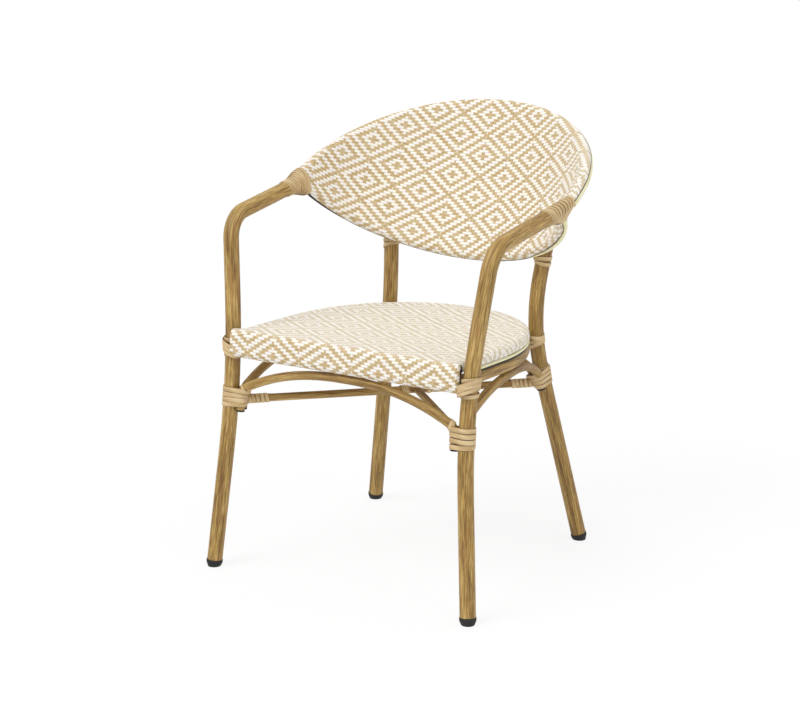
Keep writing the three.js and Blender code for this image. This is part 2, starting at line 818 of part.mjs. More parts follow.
// Nose bends
for (const { side, word } of sides) {
  const last = side > 0 ? rimStations : 0;
  const next = side > 0 ? last - 1 : 1;
  const leads = [upperRim, lowerRim].map((run) => {
    const along = direction(run[next], run[last]);
    return [fit, noseLead, noseReach].map((reach) =>
      run[last].clone().addScaledVector(along, reach));
  });
  const [[start, startBend, startPull], [end, endBend, endPull]] = leads;
  const bend = new THREE.CubicBezierCurve3(startBend, startPull, endPull, endBend);
  const run = [start, ...bend.getPoints(noseStations), end];
  addPiece(`back_rim_nose_${word}`, tube(run, rimRadius, slimSides), looks.cane());
  const arm = legOf("front", side).run;
  const armEnd = arm[arm.length - 1];
  const outward = direction(arm[arm.length - 2], armEnd);
  const plug = discPlug(armEnd, outward, tubeRadius, armPlugThickness, tubeSides);
  addPiece(`arm_end_plug_${word}`, plug, looks.black());
}

// Back piping, one length behind each rim tube
const rimPipingReach = rimRadius + backPipingRadius + fit;
const backPiping = (run, angle) => {
  const points = run.map((_, index) => {
    const rise = direction(lowerRim[index], upperRim[index]);
    return rimFrame(run, index, rise).at(rimPipingReach, angle);
  });
  return tube(points, backPipingRadius, pipingSides);
};
addPiece("back_piping_upper", backPiping(upperRim, upperPipingAngle), looks.piping());
addPiece("back_piping_lower", backPiping(lowerRim, lowerPipingAngle), looks.piping());

// Spacers behind the seat ring and the lower rim, each set where the tube passes closest to
// the rear leg. The seat's stands on the leg's binding, the back's on the leg itself.
function spacer(run, runRadius, post, postRadius) {
  const level = run[Math.round(run.length / 2)].z;
  const spots = Array.from({ length: 2 * slimSides + 1 }, (_, k) =>
    atHeight(post, level + spacerSearch * (k / slimSides - 1)).place);
  let [near, far] = [run[0], spots[0]];
  for (let i = 1; i < run.length; i += 1) {
    for (let k = 0; k <= slimSides; k += 1) {
      const point = run[i - 1].clone().lerp(run[i], k / slimSides);
      for (const spot of spots) {
        if (point.distanceTo(spot) < near.distanceTo(far)) [near, far] = [point, spot];
      }
    }
  }
  const along = direction(near, far);
  const start = near.clone().addScaledVector(along, runRadius + fit);
  const end = far.clone().addScaledVector(along, -postRadius - fit);
  return tube([start, end], spacerDiameter / 2, slimSides);
}

for (const { side, word } of sides) {
  const post = legOf("rear", side).run;
  const wound = woundRadius / Math.cos(Math.PI / stripSteps);
  const seat = spacer(baseRun, baseBarRadius, post, wound);
  const back = spacer(lowerRim, rimRadius, post, tubeRadius);
  addPiece(`seat_spacer_${word}`, seat, looks.black());
  addPiece(`back_spacer_${word}`, back, looks.black());
}

// Bindings: one flat strip wound round the pieces it ties, held a fixed clearance off the
// tightest outline of those pieces at each height along the winding.
function outlineOf(names, origin, axis) {
  const east = axis.clone().cross(Math.abs(axis.z) > 0.5 ? v(1, 0, 0) : up).normalize();
  const north = axis.clone().cross(east);
  const edges = [];
  for (const name of names) {
    const { geometry } = chair.getObjectByName(name);
    const position = geometry.attributes.position;
    const flat = Array.from({ length: position.count }, (_, i) => {
      const point = new THREE.Vector3().fromBufferAttribute(position, i).sub(origin);
      return [point.dot(east), point.dot(north), point.dot(axis)];
    });
    const index = geometry.index.array;
    for (let i = 0; i < index.length; i += 3) {
      for (let k = 0; k < 3; k += 1) {
        const pair = [flat[index[i + k]], flat[index[i + ((k + 1) % 3)]]];
        if (pair.some(([a, b]) => Math.hypot(a, b) < stripSpread)) edges.push(pair);
      }
    }
  }
  const reach = (low, high, angle) => {
    let best = -Infinity;
    for (const [from, to] of edges) {
      const span = to[2] - from[2];
      if (Math.max(from[2], to[2]) < low || Math.min(from[2], to[2]) > high) continue;
      for (const level of [low, high]) {
        const raw = span === 0 ? 0 : (level - from[2]) / span;
        const part = Math.min(1, Math.max(0, raw));
        const a = from[0] + (to[0] - from[0]) * part;
        const b = from[1] + (to[1] - from[1]) * part;
        best = Math.max(best, a * Math.cos(angle) + b * Math.sin(angle));
      }
    }
    return best;
  };
  return { east, north, reach };
}

const windingGaps = [];

function winding({ around, origin, axis, from, turns, pitch = stripPitch, tilt = 0, turnStart = 0 }) {
  const { east, north, reach } = outlineOf(around, origin, axis);
  const count = Math.round(turns * stripSteps);
  const half = stripWidth / 2;
  const advance = pitch / stripSteps;
  const angleOf = (j) => turnStart + (2 * Math.PI * j) / stripSteps;
  const lines = Array.from({ length: count + 2 }, (_, j) => {
    const middle = from + advance * (j - 0.5);
    const room = half + advance + fit;
    return reach(middle - room, middle + room, angleOf(j)) + stripClearance;
  });
  const corner = (j, extra) => {
    const [a, b] = [angleOf(j), angleOf(j + 1)];
    const [p, q] = [lines[j] + extra, lines[j + 1] + extra];
    const turn = Math.sin(b - a);
    const x = (p * Math.sin(b) - q * Math.sin(a)) / turn;
    const y = (q * Math.cos(a) - p * Math.cos(b)) / turn;
    return origin.clone().addScaledVector(east, x).addScaledVector(north, y)
      .addScaledVector(axis, from + advance * j + tilt * x);
  };
  const rows = Array.from({ length: count + 1 }, (_, j) => [-half, half].map((shift) => ({
    outer: corner(j, stripThickness).addScaledVector(axis, shift),
    inner: corner(j, 0).addScaledVector(axis, shift),
  })));
  for (let j = stripSteps; j < rows.length; j += 1) {
    windingGaps.push(rows[j][0].outer.distanceTo(rows[j - stripSteps][1].outer));
    windingGaps.push(rows[j][0].inner.distanceTo(rows[j - stripSteps][1].inner));
  }
  return sheetSolid([rows]);
}

const windingLength = (turns) => stripPitch * turns;

for (const { end, side, word, run } of legs) {
  const place = `${end}_${word}`;
  const leg = `${end === "front" ? "front_leg_and_arm" : "rear_leg"}_${word}`;
  const tied = [leg, ...arches.flatMap((arch) => arch.tied[place] ?? [])];
  const low = atHeight(run, lowerBindingZ);
  const lower = winding({
    around: tied,
    origin: low.place,
    axis: low.along,
    from: -windingLength(lowerBindingTurns) / 2,
    turns: lowerBindingTurns,
    turnStart: Math.PI / 4,
  });
  addPiece(`lower_binding_${place}`, lower, looks.strip());
  const isFront = end === "front";
  const turns = isFront ? frontSeatBindingTurns : rearSeatBindingTurns;
  const high = atHeight(run, isFront ? frontSeatBindingZ : rearSeatBindingZ);
  const seat = winding({
    around: [leg],
    origin: high.place,
    axis: high.along,
    from: -windingLength(turns) / 2,
    turns,
  });
  addPiece(`seat_binding_${place}`, seat, looks.strip());
  if (isFront) {
    const armEnd = run[run.length - 1];
    const axis = direction(run[run.length - 2], armEnd);
    const nose = ["back_upper_rim", "back_lower_rim", "back_sling", `back_rim_nose_${word}`];
    const around = [leg, `arm_end_plug_${word}`, ...nose, "back_piping_upper", "back_piping_lower"];
    const arm = winding({
      around,
      origin: armEnd,
      axis,
      from: armBindingStart,
      turns: armBindingTurns,
    });
    addPiece(`arm_binding_${word}`, arm, looks.strip());
  } else {
    const post = atHeight(run, postBindingZ);
    const tie = winding({
      around: [leg],
      origin: post.place,
      axis: post.along,
      from: -windingLength(postBindingTurns) / 2,
      turns: postBindingTurns,
    });
    addPiece(`post_binding_${word}`, tie, looks.strip());
  }
}

// Stretcher bindings, at the ends of the through stretcher and on both sides of the crossing
const meeting = centre.distanceTo(through.start);
const stretcherLength = through.end.distanceTo(through.start);
const ties = [
  { word: "front", from: stretcherTieInset, turns: stretcherEndTurns },
  { word: "near_middle", from: meeting - crossTieReach, turns: stretcherMiddleTurns },
  { word: "far_middle", from: meeting + crossTieGap, turns: stretcherMiddleTurns },
  {
    word: "rear",
    from: stretcherLength - windingLength(stretcherEndTurns) - stretcherTieInset,
    turns: stretcherEndTurns,
  },
];
for (const { word, from, turns } of ties) {
  const around = ["stretcher_through"];
  const tie = winding({ around, origin: through.start, axis: through.along, from, turns });
  addPiece(`stretcher_binding_${word}`, tie, looks.strip());
}

console.log(`least gap between the turns of a winding: ${Math.min(...windingGaps).toFixed(2)} mm`);

// The origin sits on the floor, under the middle of the chair.
const bounds = new THREE.Box3().setFromObject(chair);
const middle = bounds.getCenter(new THREE.Vector3());
chair.position.set(-middle.x, -middle.y, -bounds.min.z);
const bistroChair = new THREE.Group();
bistroChair.add(chair);

export default bistroChair;
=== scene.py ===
# %% [markdown]
# # Rattan-look bistro armchair
#
# This file dresses the packed chair for a picture. Every tube, cord, cap, sling and binding
# of the chair is modelled again here, finer than in the frame, and gets its own finish. The
# frame gives the places, so a finer piece always lies where the plain one lay.

# %% Load the frame
import math

import bpy
from mathutils import Matrix, Quaternion, Vector


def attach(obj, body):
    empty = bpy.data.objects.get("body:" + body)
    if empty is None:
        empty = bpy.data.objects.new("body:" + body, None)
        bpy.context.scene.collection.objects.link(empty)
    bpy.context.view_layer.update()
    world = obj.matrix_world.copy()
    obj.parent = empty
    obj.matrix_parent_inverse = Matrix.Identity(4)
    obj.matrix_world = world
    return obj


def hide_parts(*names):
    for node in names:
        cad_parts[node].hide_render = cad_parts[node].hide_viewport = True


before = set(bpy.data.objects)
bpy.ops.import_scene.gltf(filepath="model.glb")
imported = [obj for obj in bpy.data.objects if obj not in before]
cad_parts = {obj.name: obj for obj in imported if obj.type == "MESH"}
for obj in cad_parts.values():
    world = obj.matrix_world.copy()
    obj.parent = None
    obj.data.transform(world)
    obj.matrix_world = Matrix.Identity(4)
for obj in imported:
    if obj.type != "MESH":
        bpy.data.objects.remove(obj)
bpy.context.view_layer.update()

# %% [markdown]
# ## The camera
#
# The photograph was taken from the chair's right hand side as we look at it, a little above
# the seat, with a long lens. The camera comes first, because it says how large each detail
# shows: about half a pixel for each millimetre.

# %% Camera
eye = Vector((1.9249, -3.1077, 1.3283))
aim = Vector((0.0, -0.0365, 0.3787))
camera_data = bpy.data.cameras.new("camera")
camera_data.lens = 92.88
camera_data.sensor_width = 36.0
camera_data.shift_x = -0.0144
camera_data.shift_y = 0.0005
camera_data.clip_end = 60.0
camera = bpy.data.objects.new("camera", camera_data)
camera.location = eye
camera.rotation_euler = (aim - eye).to_track_quat("-Z", "Y").to_euler()
bpy.context.scene.collection.objects.link(camera)
bpy.context.scene.camera = camera
print("camera stands", round((eye - aim).length, 2), "m from the chair")

# %% [markdown]
# ## A small language for finishes
#
# A finish is a web of shader nodes. Written node by node it is long and hard to read, so a
# wire, which is one output of a node, is wrapped here. Adding or multiplying wires then adds
# the Math nodes that do it, and a finish reads like ordinary sums.

# %% Wires
class Wire:
    """One output of a shader node."""

    def __init__(self, paint, socket):
        self.paint, self.socket = paint, socket

    def math(self, operation, *others):
        return self.paint.math(operation, self, *others)

    def __add__(self, other):
        return self.math("ADD", other)

    def __sub__(self, other):
        return self.math("SUBTRACT", other)

    def __rsub__(self, other):
        return self.paint.math("SUBTRACT", other, self)

    def __mul__(self, other):
        return self.math("MULTIPLY", other)

    def __truediv__(self, other):
        return self.math("DIVIDE", other)

    def __rtruediv__(self, other):
        return self.paint.math("DIVIDE", other, self)

    def __pow__(self, other):
        return self.math("POWER", other)

    def __abs__(self):
        return self.math("ABSOLUTE")

    __radd__ = __add__
    __rmul__ = __mul__


print("a wire takes part in sums with:", ", ".join(name for name in vars(Wire) if name[:3] == "__r"))

# %% [markdown]
# A paint holds the web itself. It has one method that adds any node, and a few short ones for
# the nodes that every finish here needs, such as a soft step, a blend of colours or noise.

# %% Paints
class Paint:
    """The look of a material, or of the world, and the nodes that make it."""

    def __init__(self, name, shelf=bpy.data.materials):
        self.made = shelf.new(name)
        self.made.use_nodes = True
        self.tree = self.made.node_tree
        self.tree.nodes.clear()

    def node(self, kind, settings=None, values=None, out=0):
        """Adds a node, sets it up, fills or links its sockets and gives one output, or all."""
        node = self.tree.nodes.new(kind)
        for key, value in (settings or {}).items():
            if key == "stops":
                ramp = node.color_ramp
                while len(ramp.elements) < len(value):
                    ramp.elements.new(1.0)
                for element, (place, color) in zip(ramp.elements, value):
                    element.position = place
                    element.color = color
            else:
                setattr(node, key, value)
        values = values or {}
        for key, value in values.items() if isinstance(values, dict) else enumerate(values):
            if isinstance(value, Wire):
                self.tree.links.new(value.socket, node.inputs[key])
            else:
                node.inputs[key].default_value = value
        if out is None:
            return [Wire(self, socket) for socket in node.outputs]
        return Wire(self, node.outputs[out])

    def math(self, operation, *values):
        return self.node("ShaderNodeMath", {"operation": operation}, values)

    def step(self, value, low, high):
        """0 below low, 1 above high, and a smooth rise between."""
        settings = {"interpolation_type": "SMOOTHSTEP"}
        return self.node("ShaderNodeMapRange", settings, [value, low, high, 0.0, 1.0])

    def vector(self, x, y, z=0.0):
        return self.node("ShaderNodeCombineXYZ", None, [x, y, z])

    def split(self, vector):
        return self.node("ShaderNodeSeparateXYZ", None, [vector], out=None)

    def blend(self, share, first, second):
        """Mixes two colours."""
        values = {0: share, 6: first, 7: second}
        return self.node("ShaderNodeMix", {"data_type": "RGBA"}, values, out=2)

    def ramp(self, value, *stops):
        """A colour for each value, by stops of (value, colour)."""
        return self.node("ShaderNodeValToRGB", {"stops": stops}, [value])

    def noise(self, vector, scale=1.0, detail=2.0, roughness=0.5):
        values = {"Vector": vector, "Scale": scale, "Detail": detail, "Roughness": roughness}
        return self.node("ShaderNodeTexNoise", None, values)

    def along(self):
        """The piece's own map: turns round it, or metres across it, and metres along it."""
        return self.split(self.node("ShaderNodeUVMap", {"uv_map": "along"}))[:2]

    def bump(self, height, distance, strength):
        values = {"Strength": strength, "Distance": distance, "Height": height}
        return self.node("ShaderNodeBump", None, values)

    def show(self, shader, output="ShaderNodeOutputMaterial"):
        self.node(output, None, {"Surface": shader}, out=None)
        return self.made

    def finish(self, color, roughness, normal):
        values = {"Base Color": color, "Roughness": roughness, "Normal": normal}
        return self.show(self.node("ShaderNodeBsdfPrincipled", None, values))


print("a paint can:", ", ".join(name for name in vars(Paint) if name[0] != "_"))

# %% Colours
def tint(red, green, blue):
    """A colour as seen on a screen, 0 to 255, in the linear numbers that shaders use."""
    def line(value):
        value /= 255.0
        return value / 12.92 if value <= 0.04045 else ((value + 0.055) / 1.055) ** 2.4
    return (line(red), line(green), line(blue), 1.0)


print("a mid tan is", [round(part, 3) for part in tint(200, 165, 115)])

# %% [markdown]
# ## Finish: tube painted to look like cane
#
# The tubes are metal, printed with long brown streaks over a golden ground, as peeled cane
# looks. Streaks run along the tube, so the pattern is read from the piece's own map, and the
# turn round the tube goes through a cosine and a sine so that it meets itself without a seam.

# %% Cane paint
def cane_paint():
    paint = Paint("cane_look_tube")
    turn, length = paint.along()
    angle = turn * math.tau
    east = angle.math("COSINE")
    north = angle.math("SINE")

    def streaks(around, stretch, seed, detail=2.0, roughness=0.5):
        """Noise with so many streaks round the tube and so many to a metre."""
        spot = paint.vector(east * around + seed, north * around - seed, length * stretch)
        return paint.noise(spot, detail=detail, roughness=roughness)

    patches = streaks(0.5, 3.5, 5.1)
    bands = streaks(1.6, 10.0, 7.7, detail=3.0)
    threads = streaks(13.0, 22.0, 1.3, detail=3.0, roughness=0.65)
    hairs = streaks(28.0, 44.0, 9.2, roughness=0.6)
    lines = streaks(24.0, 15.0, 4.6, roughness=0.6)
    flecks = streaks(16.0, 90.0, 2.9)
    tone = patches * 0.14 + bands * 0.2 + threads * 0.32 + hairs * 0.34
    color = paint.ramp(tone, (0.42, tint(98, 64, 20)), (0.47, tint(142, 108, 48)),
                       (0.53, tint(178, 143, 74)), (0.59, tint(216, 186, 118)))
    hue = streaks(2.0, 13.0, 6.3)
    color = paint.blend(paint.step(hue, 0.56, 0.68) * 0.32, color, tint(196, 162, 72))
    color = paint.blend(paint.step(1.0 - hue, 0.56, 0.68) * 0.36, color, tint(158, 108, 52))
    dark = paint.step(lines, 0.56, 0.63)
    color = paint.blend(dark * 0.8, color, tint(78, 46, 10))
    pale = paint.step(1.0 - lines, 0.57, 0.66) * paint.step(threads, 0.42, 0.6)
    color = paint.blend(pale * 0.5, color, tint(222, 196, 134))
    color = paint.blend(paint.step(flecks, 0.64, 0.74) * 0.55, color, tint(94, 64, 30))
    height = threads * 0.5 + hairs * 0.3 - dark * 0.3
    return paint.finish(color, 0.38 + hairs * 0.2 + dark * 0.12, paint.bump(height, 0.0004, 0.6))


cane = cane_paint()
print("cane paint nodes:", len(cane.node_tree.nodes))

# %% [markdown]
# ## Finish: binding strip
#
# The bindings are flat beige strip. Each turn lies against the next, and the strip's edges are
# darkened with painted shade for the gap between turns. Fine fibres run along the strip, which
# is round the tube. A pattern in space would run straight through the turns, so this one is
# read from the strip's own map too.

# %% Strip paint
def strip_paint():
    paint = Paint("binding_strip")
    across, length = paint.along()
    fibres = paint.noise(paint.vector(across * 7.0, length * 14.0), detail=3.0, roughness=0.6)
    spot = paint.vector(across * 1.2, length * 30.0, 4.0)
    patches = paint.noise(spot, detail=3.0)
    color = paint.ramp(fibres * 0.5 + patches * 0.5, (0.34, tint(168, 137, 88)),
                       (0.48, tint(200, 171, 123)), (0.64, tint(226, 203, 160)))
    pink = paint.step(paint.noise(spot, scale=0.6), 0.5, 0.64)
    color = paint.blend(pink * 0.3, color, tint(222, 188, 148))
    # The strip's edges are darkened: painted shade in the gap between one turn and the next.
    edge = paint.step(abs(across), 0.37, 0.5)
    color = paint.blend(edge * 0.8, color, tint(96, 68, 36))
    return paint.finish(color, 0.46 + fibres * 0.22, paint.bump(fibres, 0.0003, 0.6))


strip = strip_paint()
print("strip paint nodes:", len(strip.node_tree.nodes))

# %% [markdown]
# ## Finish: woven sling
#
# The slings are woven from flat plastic yarn. White yarn runs across and floats over tan
# yarn that runs up and down, and where it floats it makes rings of diamonds: a tan middle, a
# white ring, a tan ring, a white ring and a tan border. The pattern is counted in columns and
# rows of the weave, so each white float is a separate dash with rounded ends.

# %% Weave paint
DIAMOND_COLUMNS = 16.0


def weave_paint(name, column, row, start, lean, painted_light):
    """column and row are the weave's pitches, and start a diamond's middle, in metres.

    lean turns the weave on the cloth. The last argument says which way, from where to where and
    how much the tan yarn is painted paler: painted light on the parts of the cloth that lie brighter.
    """
    paint = Paint(name)
    across, up = paint.along()
    right, rise = across - start[0], up - start[1]
    cos, sin = math.cos(math.radians(lean)), math.sin(math.radians(lean))
    i = (right * cos + rise * sin) / column
    j = (rise * cos - right * sin) / row
    line = (j + 0.5).math("FLOOR")
    beside = j - line
    first = ((i + line) / DIAMOND_COLUMNS + 0.5).math("FRACT") - 0.5
    second = ((i - line) / DIAMOND_COLUMNS + 0.5).math("FRACT") - 0.5
    loose = paint.noise(paint.vector(i * 0.9, line * 3.1), detail=1.0)
    ring = abs(first).math("MAXIMUM", abs(second)) * DIAMOND_COLUMNS + (loose - 0.5) * 0.7
    taper = (abs(beside) * 2.0) ** 3.0 * 0.4
    inner = paint.step(ring - taper, 1.4, 1.7) * (1.0 - paint.step(ring + taper, 3.3, 3.6))
    outer = paint.step(ring - taper, 5.1, 5.4) * (1.0 - paint.step(ring + taper, 7.0, 7.3))
    float_height = 1.0 - (beside * 2.0) ** 2.0
    lies_on_top = (inner + outer) * paint.step(float_height, 0.04, 0.3)
    warp = i * 2.0
    number = warp.math("FLOOR")
    rib_height = 1.0 - (abs(warp.math("FRACT") - 0.5) * 2.0) ** 2.0
    broad = paint.noise(paint.vector(across, up), scale=22.0)
    yarn = paint.noise(paint.vector(number * 3.7, up * 55.0, line * 0.6), detail=1.0)
    grain = paint.noise(paint.vector(across * 900.0, up * 900.0), detail=1.0)
    tan = paint.blend(paint.step(yarn, 0.4, 0.6), tint(186, 160, 104), tint(216, 186, 146))
    tan = paint.blend(paint.step(yarn, 0.56, 0.66), tan, tint(198, 184, 134))
    tan = paint.blend(broad * 0.3, tan, tint(206, 178, 132))
    # Between the warp ribs the tan is darkened: painted shade in the grooves between the yarns.
    tan = paint.blend((1.0 - rib_height) * 0.5, tan, tint(150, 124, 82))
    speck = paint.step(abs(beside), 0.3, 0.44) * paint.step(1.0 - rib_height, 0.15, 0.5)
    tan = paint.blend(speck * 0.7, tan, tint(238, 231, 212))
    white = paint.blend(paint.step(loose, 0.4, 0.6), tint(250, 247, 237), tint(247, 243, 245))
    white = paint.blend(grain * 0.3, white, tint(232, 228, 214))
    # The white floats darken towards their ends, where they dip under: painted shade.
    white = paint.blend((1.0 - float_height) * 0.3, white, tint(206, 196, 172))
    # The tan is painted paler over one part of the cloth: painted light, where the seat's top and one
    # wing of the back lie in brighter light.
    way_to, low, high, most = painted_light
    painted_light_share = paint.step({"up": up, "across": across}[way_to], low, high)
    tan = paint.blend(painted_light_share * most, tan, tint(226, 219, 202))
    color = paint.blend(lies_on_top, tan, white)
    height = lies_on_top * (0.45 + float_height * 0.55) + (1.0 - lies_on_top) * rib_height * 0.3
    return paint.finish(color, 0.55 + grain * 0.2, paint.bump(height, 0.0007, 0.8))


seat_weave = weave_paint("seat_weave", 0.0069, 0.00488, (0.0230, -0.2212), lean=0.0,
                         painted_light=("up", -0.232, -0.214, 0.55))
back_weave = weave_paint("back_weave", 0.00677, 0.00502, (-0.1720, 0.1413), lean=1.6,
                         painted_light=("across", 0.1, 0.3, 0.4))
print("weave paint nodes:", len(seat_weave.node_tree.nodes))

# %% [markdown]
# ## Finishes: piping, black plastic and rubber
#
# The piping is smooth pale yellow cord. The plugs are black plastic, a little glossy, and the
# foot caps are duller rubber. Fine noise keeps them from looking like one flat colour. They
# have no grain that runs one way, so the noise is read from the place in space.

# %% Piping and black paints
def plain_paint(name, low, high, scale, rough, bump):
    paint = Paint(name)
    spot = paint.node("ShaderNodeTexCoord", out="Object")
    broad = paint.noise(spot, scale=scale, detail=3.0)
    fine = paint.noise(spot, scale=scale * 18.0)
    color = paint.blend(paint.step(broad * 0.7 + fine * 0.3, 0.35, 0.65), low, high)
    return paint.finish(color, rough + fine * 0.15, paint.bump(fine, bump, 0.4))


cream = plain_paint("cream_piping", tint(230, 222, 166), tint(244, 240, 204), 30.0, 0.35, 0.0001)
black = plain_paint("black_plastic", tint(16, 14, 12), tint(34, 30, 26), 60.0, 0.5, 0.0001)
rubber = plain_paint("foot_rubber", tint(15, 14, 13), tint(27, 26, 24), 60.0, 0.6, 0.0002)
print("plain paints:", cream.name, black.name, rubber.name)

# %% [markdown]
# ## The lines that the tubes follow
#
# Every tube follows a line through the middle of it. The sizes are in millimetres, as a
# drawing of the chair would give them, and `to_frame` turns them into the frame's metres.
# Pieces that lie against each other stay a small gap apart, so that none cuts into another.

# %% Lines
MIDDLE_Y = 36.557
UP = Vector((0, 0, 1))
GAP = 0.3


def to_frame(point):
    return Vector((point[0], point[1] - MIDDLE_Y, point[2])) / 1000.0


def way(start, end):
    return (Vector(end) - Vector(start)).normalized()


def bent_line(corners, radii, turn_step=0.05, straight_step=12.0):
    """Straight stretches joined by round bends at the inner corners."""
    corners = [Vector(corner) for corner in corners]
    points = [corners[0]]
    for before, corner, after, radius in zip(corners, corners[1:], corners[2:], radii):
        along, onward = way(before, corner), way(corner, after)
        turn = along.angle(onward)
        start = corner - along * radius * math.tan(turn / 2)
        axis = along.cross(onward).normalized()
        inward = axis.cross(along)
        middle = start + inward * radius
        steps = max(6, math.ceil(turn / turn_step))
        for k in range(steps + 1):
            spoke = Quaternion(axis, turn * k / steps) @ (-inward)
            points.append(middle + spoke * radius)
    points.append(corners[-1])
    return even_steps(points, straight_step)


def even_steps(points, step):
    """Adds points on long straight stretches."""
    line = [points[0]]
    for start, end in zip(points, points[1:]):
        count = max(1, math.ceil((end - start).length / step))
        line += [start.lerp(end, k / count) for k in range(1, count + 1)]
    return line


corner = bent_line([(0, 0, 0), (100, 0, 0), (100, 100, 0)], [40])
print("a square corner bent with a radius of 40 mm has points:", len(corner))

# %% [markdown]
# A front leg and the arm above it are one bent tube, and a rear leg is another. Their corners
# are given as points, and each bend by its radius, as a tube bender would be told them.

# %% Leg lines
def front_line(side):
    corners = [(side * 269.5, -250, 0), (side * 238.7, -214.5, 361),
               (side * 269, -177.5, 636), (side * 274.2, 38, 664.6)]
    return bent_line(corners, [1400, 52])


def rear_line(side):
    corners = [(side * 231, 232, 0), (side * 153, 169, 422.5), (side * 169.5, 200, 587)]
    return bent_line(corners, [420])


SIDES = {"right": 1, "left": -1}
legs = {}
for word, side in SIDES.items():
    legs["front", word] = front_line(side)
    legs["rear", word] = rear_line(side)
print("leg lines:", {key: len(line) for key, line in legs.items()})

# %% [markdown]
# ## Drawing a tube
#
# A round tube is a curve with a round bevel, made a mesh. Blender maps a bevelled curve by
# shares, so the map is stretched to real metres here: that keeps the streaks of the paint as
# long on a short tube as on a long one.


def settle(piece, material, nodes, slot=None):
    """Gives a finished piece its paint and the nodes that it stands for.

    The slot argument is not used. Most paints are named after their slot. Blender may add a dot
    and a number to the name.
    """
    piece.data.materials.clear()
    piece.data.materials.append(material)
    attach(piece, "root")
    slot or material.name.split(".")[0]
    if nodes:
        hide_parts(*nodes)
    return piece


def only(piece):
    bpy.ops.object.select_all(action="DESELECT")
    piece.select_set(True)
    bpy.context.view_layer.objects.active = piece


def new_piece(name, data):
    piece = bpy.data.objects.new(name, data)
    bpy.context.scene.collection.objects.link(piece)
    only(piece)
    return piece


def smooth(piece, degrees=40.0):
    only(piece)
    bpy.ops.object.shade_smooth_by_angle(angle=math.radians(degrees))


def clean(piece, weld=None, outward=True):
    """Welds the points that lie within weld metres, and turns the faces outward."""
    only(piece)
    bpy.ops.object.mode_set(mode="EDIT")
    bpy.ops.mesh.select_all(action="SELECT")
    if weld:
        bpy.ops.mesh.remove_doubles(threshold=weld)
    if outward:
        bpy.ops.mesh.normals_make_consistent(inside=False)
    bpy.ops.object.mode_set(mode="OBJECT")


# %% Tubes
LEG_TUBE = 14.0
FOOT_IN_CAP = 8.0
map_start, MAP_GAP = 0.0, 0.35


def rod(name, line, radius, sides=32):
    """A closed round rod along a line given in the drawing's millimetres."""
    points = [to_frame(point) for point in line]
    curve = bpy.data.curves.new(name, "CURVE")
    curve.dimensions = "3D"
    curve.bevel_depth = radius / 1000.0
    curve.bevel_resolution = (sides - 4) // 2
    curve.use_fill_caps = True
    spline = curve.splines.new("POLY")
    spline.points.add(len(points) - 1)
    for spot, point in zip(spline.points, points):
        spot.co = (*point, 1.0)
    piece = new_piece(name, curve)
    bpy.ops.object.convert(target="MESH")
    stretch_map(piece, points)
    clean(piece, weld=1e-6, outward=False)
    smooth(piece)
    return piece


def stretch_map(piece, points):
    """Turns a bevelled curve's map of shares into turns round it and metres along it.

    Each tube starts further along the paint than the last one ended, so no two look alike.
    """
    global map_start
    lengths = [map_start]
    for start, end in zip(points, points[1:]):
        lengths.append(lengths[-1] + (end - start).length)
    layer = piece.data.uv_layers[0]
    layer.name = "along"
    for corner in layer.data:
        place = corner.uv.x * (len(points) - 1)
        index = min(int(place), len(points) - 2)
        length = lengths[index] + (lengths[index + 1] - lengths[index]) * (place - index)
        corner.uv = (corner.uv.y, length)
    map_start = lengths[-1] + MAP_GAP


def tube(node, line, radius, material=cane, sides=32):
    return settle(rod(f"{node}_tube", line, radius, sides), material, [node])


for word in SIDES:
    for end, name in (("front", "front_leg_and_arm"), ("rear", "rear_leg")):
        line = legs[end, word]
        foot = line[0]
        cut = [foot + way(foot, line[1]) * FOOT_IN_CAP]
        cut += [point for point in line if (point - foot).length > FOOT_IN_CAP + 1.0]
        tube(f"{name}_{word}", cut, LEG_TUBE)

# %% [markdown]
# ## Seat rings and bars
#
# Two bent rings lie on each other under the sling, and two straight bars close them at the
# front. A half circle would be too round at the back, so the rings follow a slightly squarer
# curve, measured out in even steps.

# %% Seat frame
SEAT_SLOPE = 0.036
DATUM_Y = -218.0
BASE_Z, SLING_Z = 406.4, 432.6
BASE_TUBE, SLING_TUBE = 12.0, 10.0
BASE_BAR_END, SLING_BAR_END = 229.0, 228.7
RING_HALF, RING_Y, RING_DEPTH, RING_POWER = 217.5, -67.0, 271.0, 2 / 2.1
SIDE_STATIONS, FINE = 12, 4000


def seat_z(z, y):
    return z - SEAT_SLOPE * (y - DATUM_Y)


def ring_point(angle, height):
    cos = math.cos(angle)
    x = RING_HALF * math.copysign(abs(cos) ** RING_POWER, cos)
    y = RING_Y + RING_DEPTH * abs(math.sin(angle)) ** RING_POWER
    return Vector((x, y, seat_z(height, y)))


def ring_line(height, front_y, stations=104):
    """Along one straight side, round the back at even steps, and along the other side."""
    fine = [ring_point(math.pi * k / FINE, height) for k in range(FINE + 1)]
    lengths = [0.0]
    for start, end in zip(fine, fine[1:]):
        lengths.append(lengths[-1] + (end - start).length)
    side_y = [front_y + (RING_Y - front_y) * k / SIDE_STATIONS for k in range(SIDE_STATIONS)]
    line = [Vector((RING_HALF, y, seat_z(height, y))) for y in side_y]
    place = 0
    for k in range(stations + 1):
        want = lengths[-1] * k / stations
        while place < FINE and lengths[place] < want:
            place += 1
        line.append(fine[place].copy())
    line += [Vector((-point.x, point.y, point.z)) for point in reversed(line[:SIDE_STATIONS])]
    return line


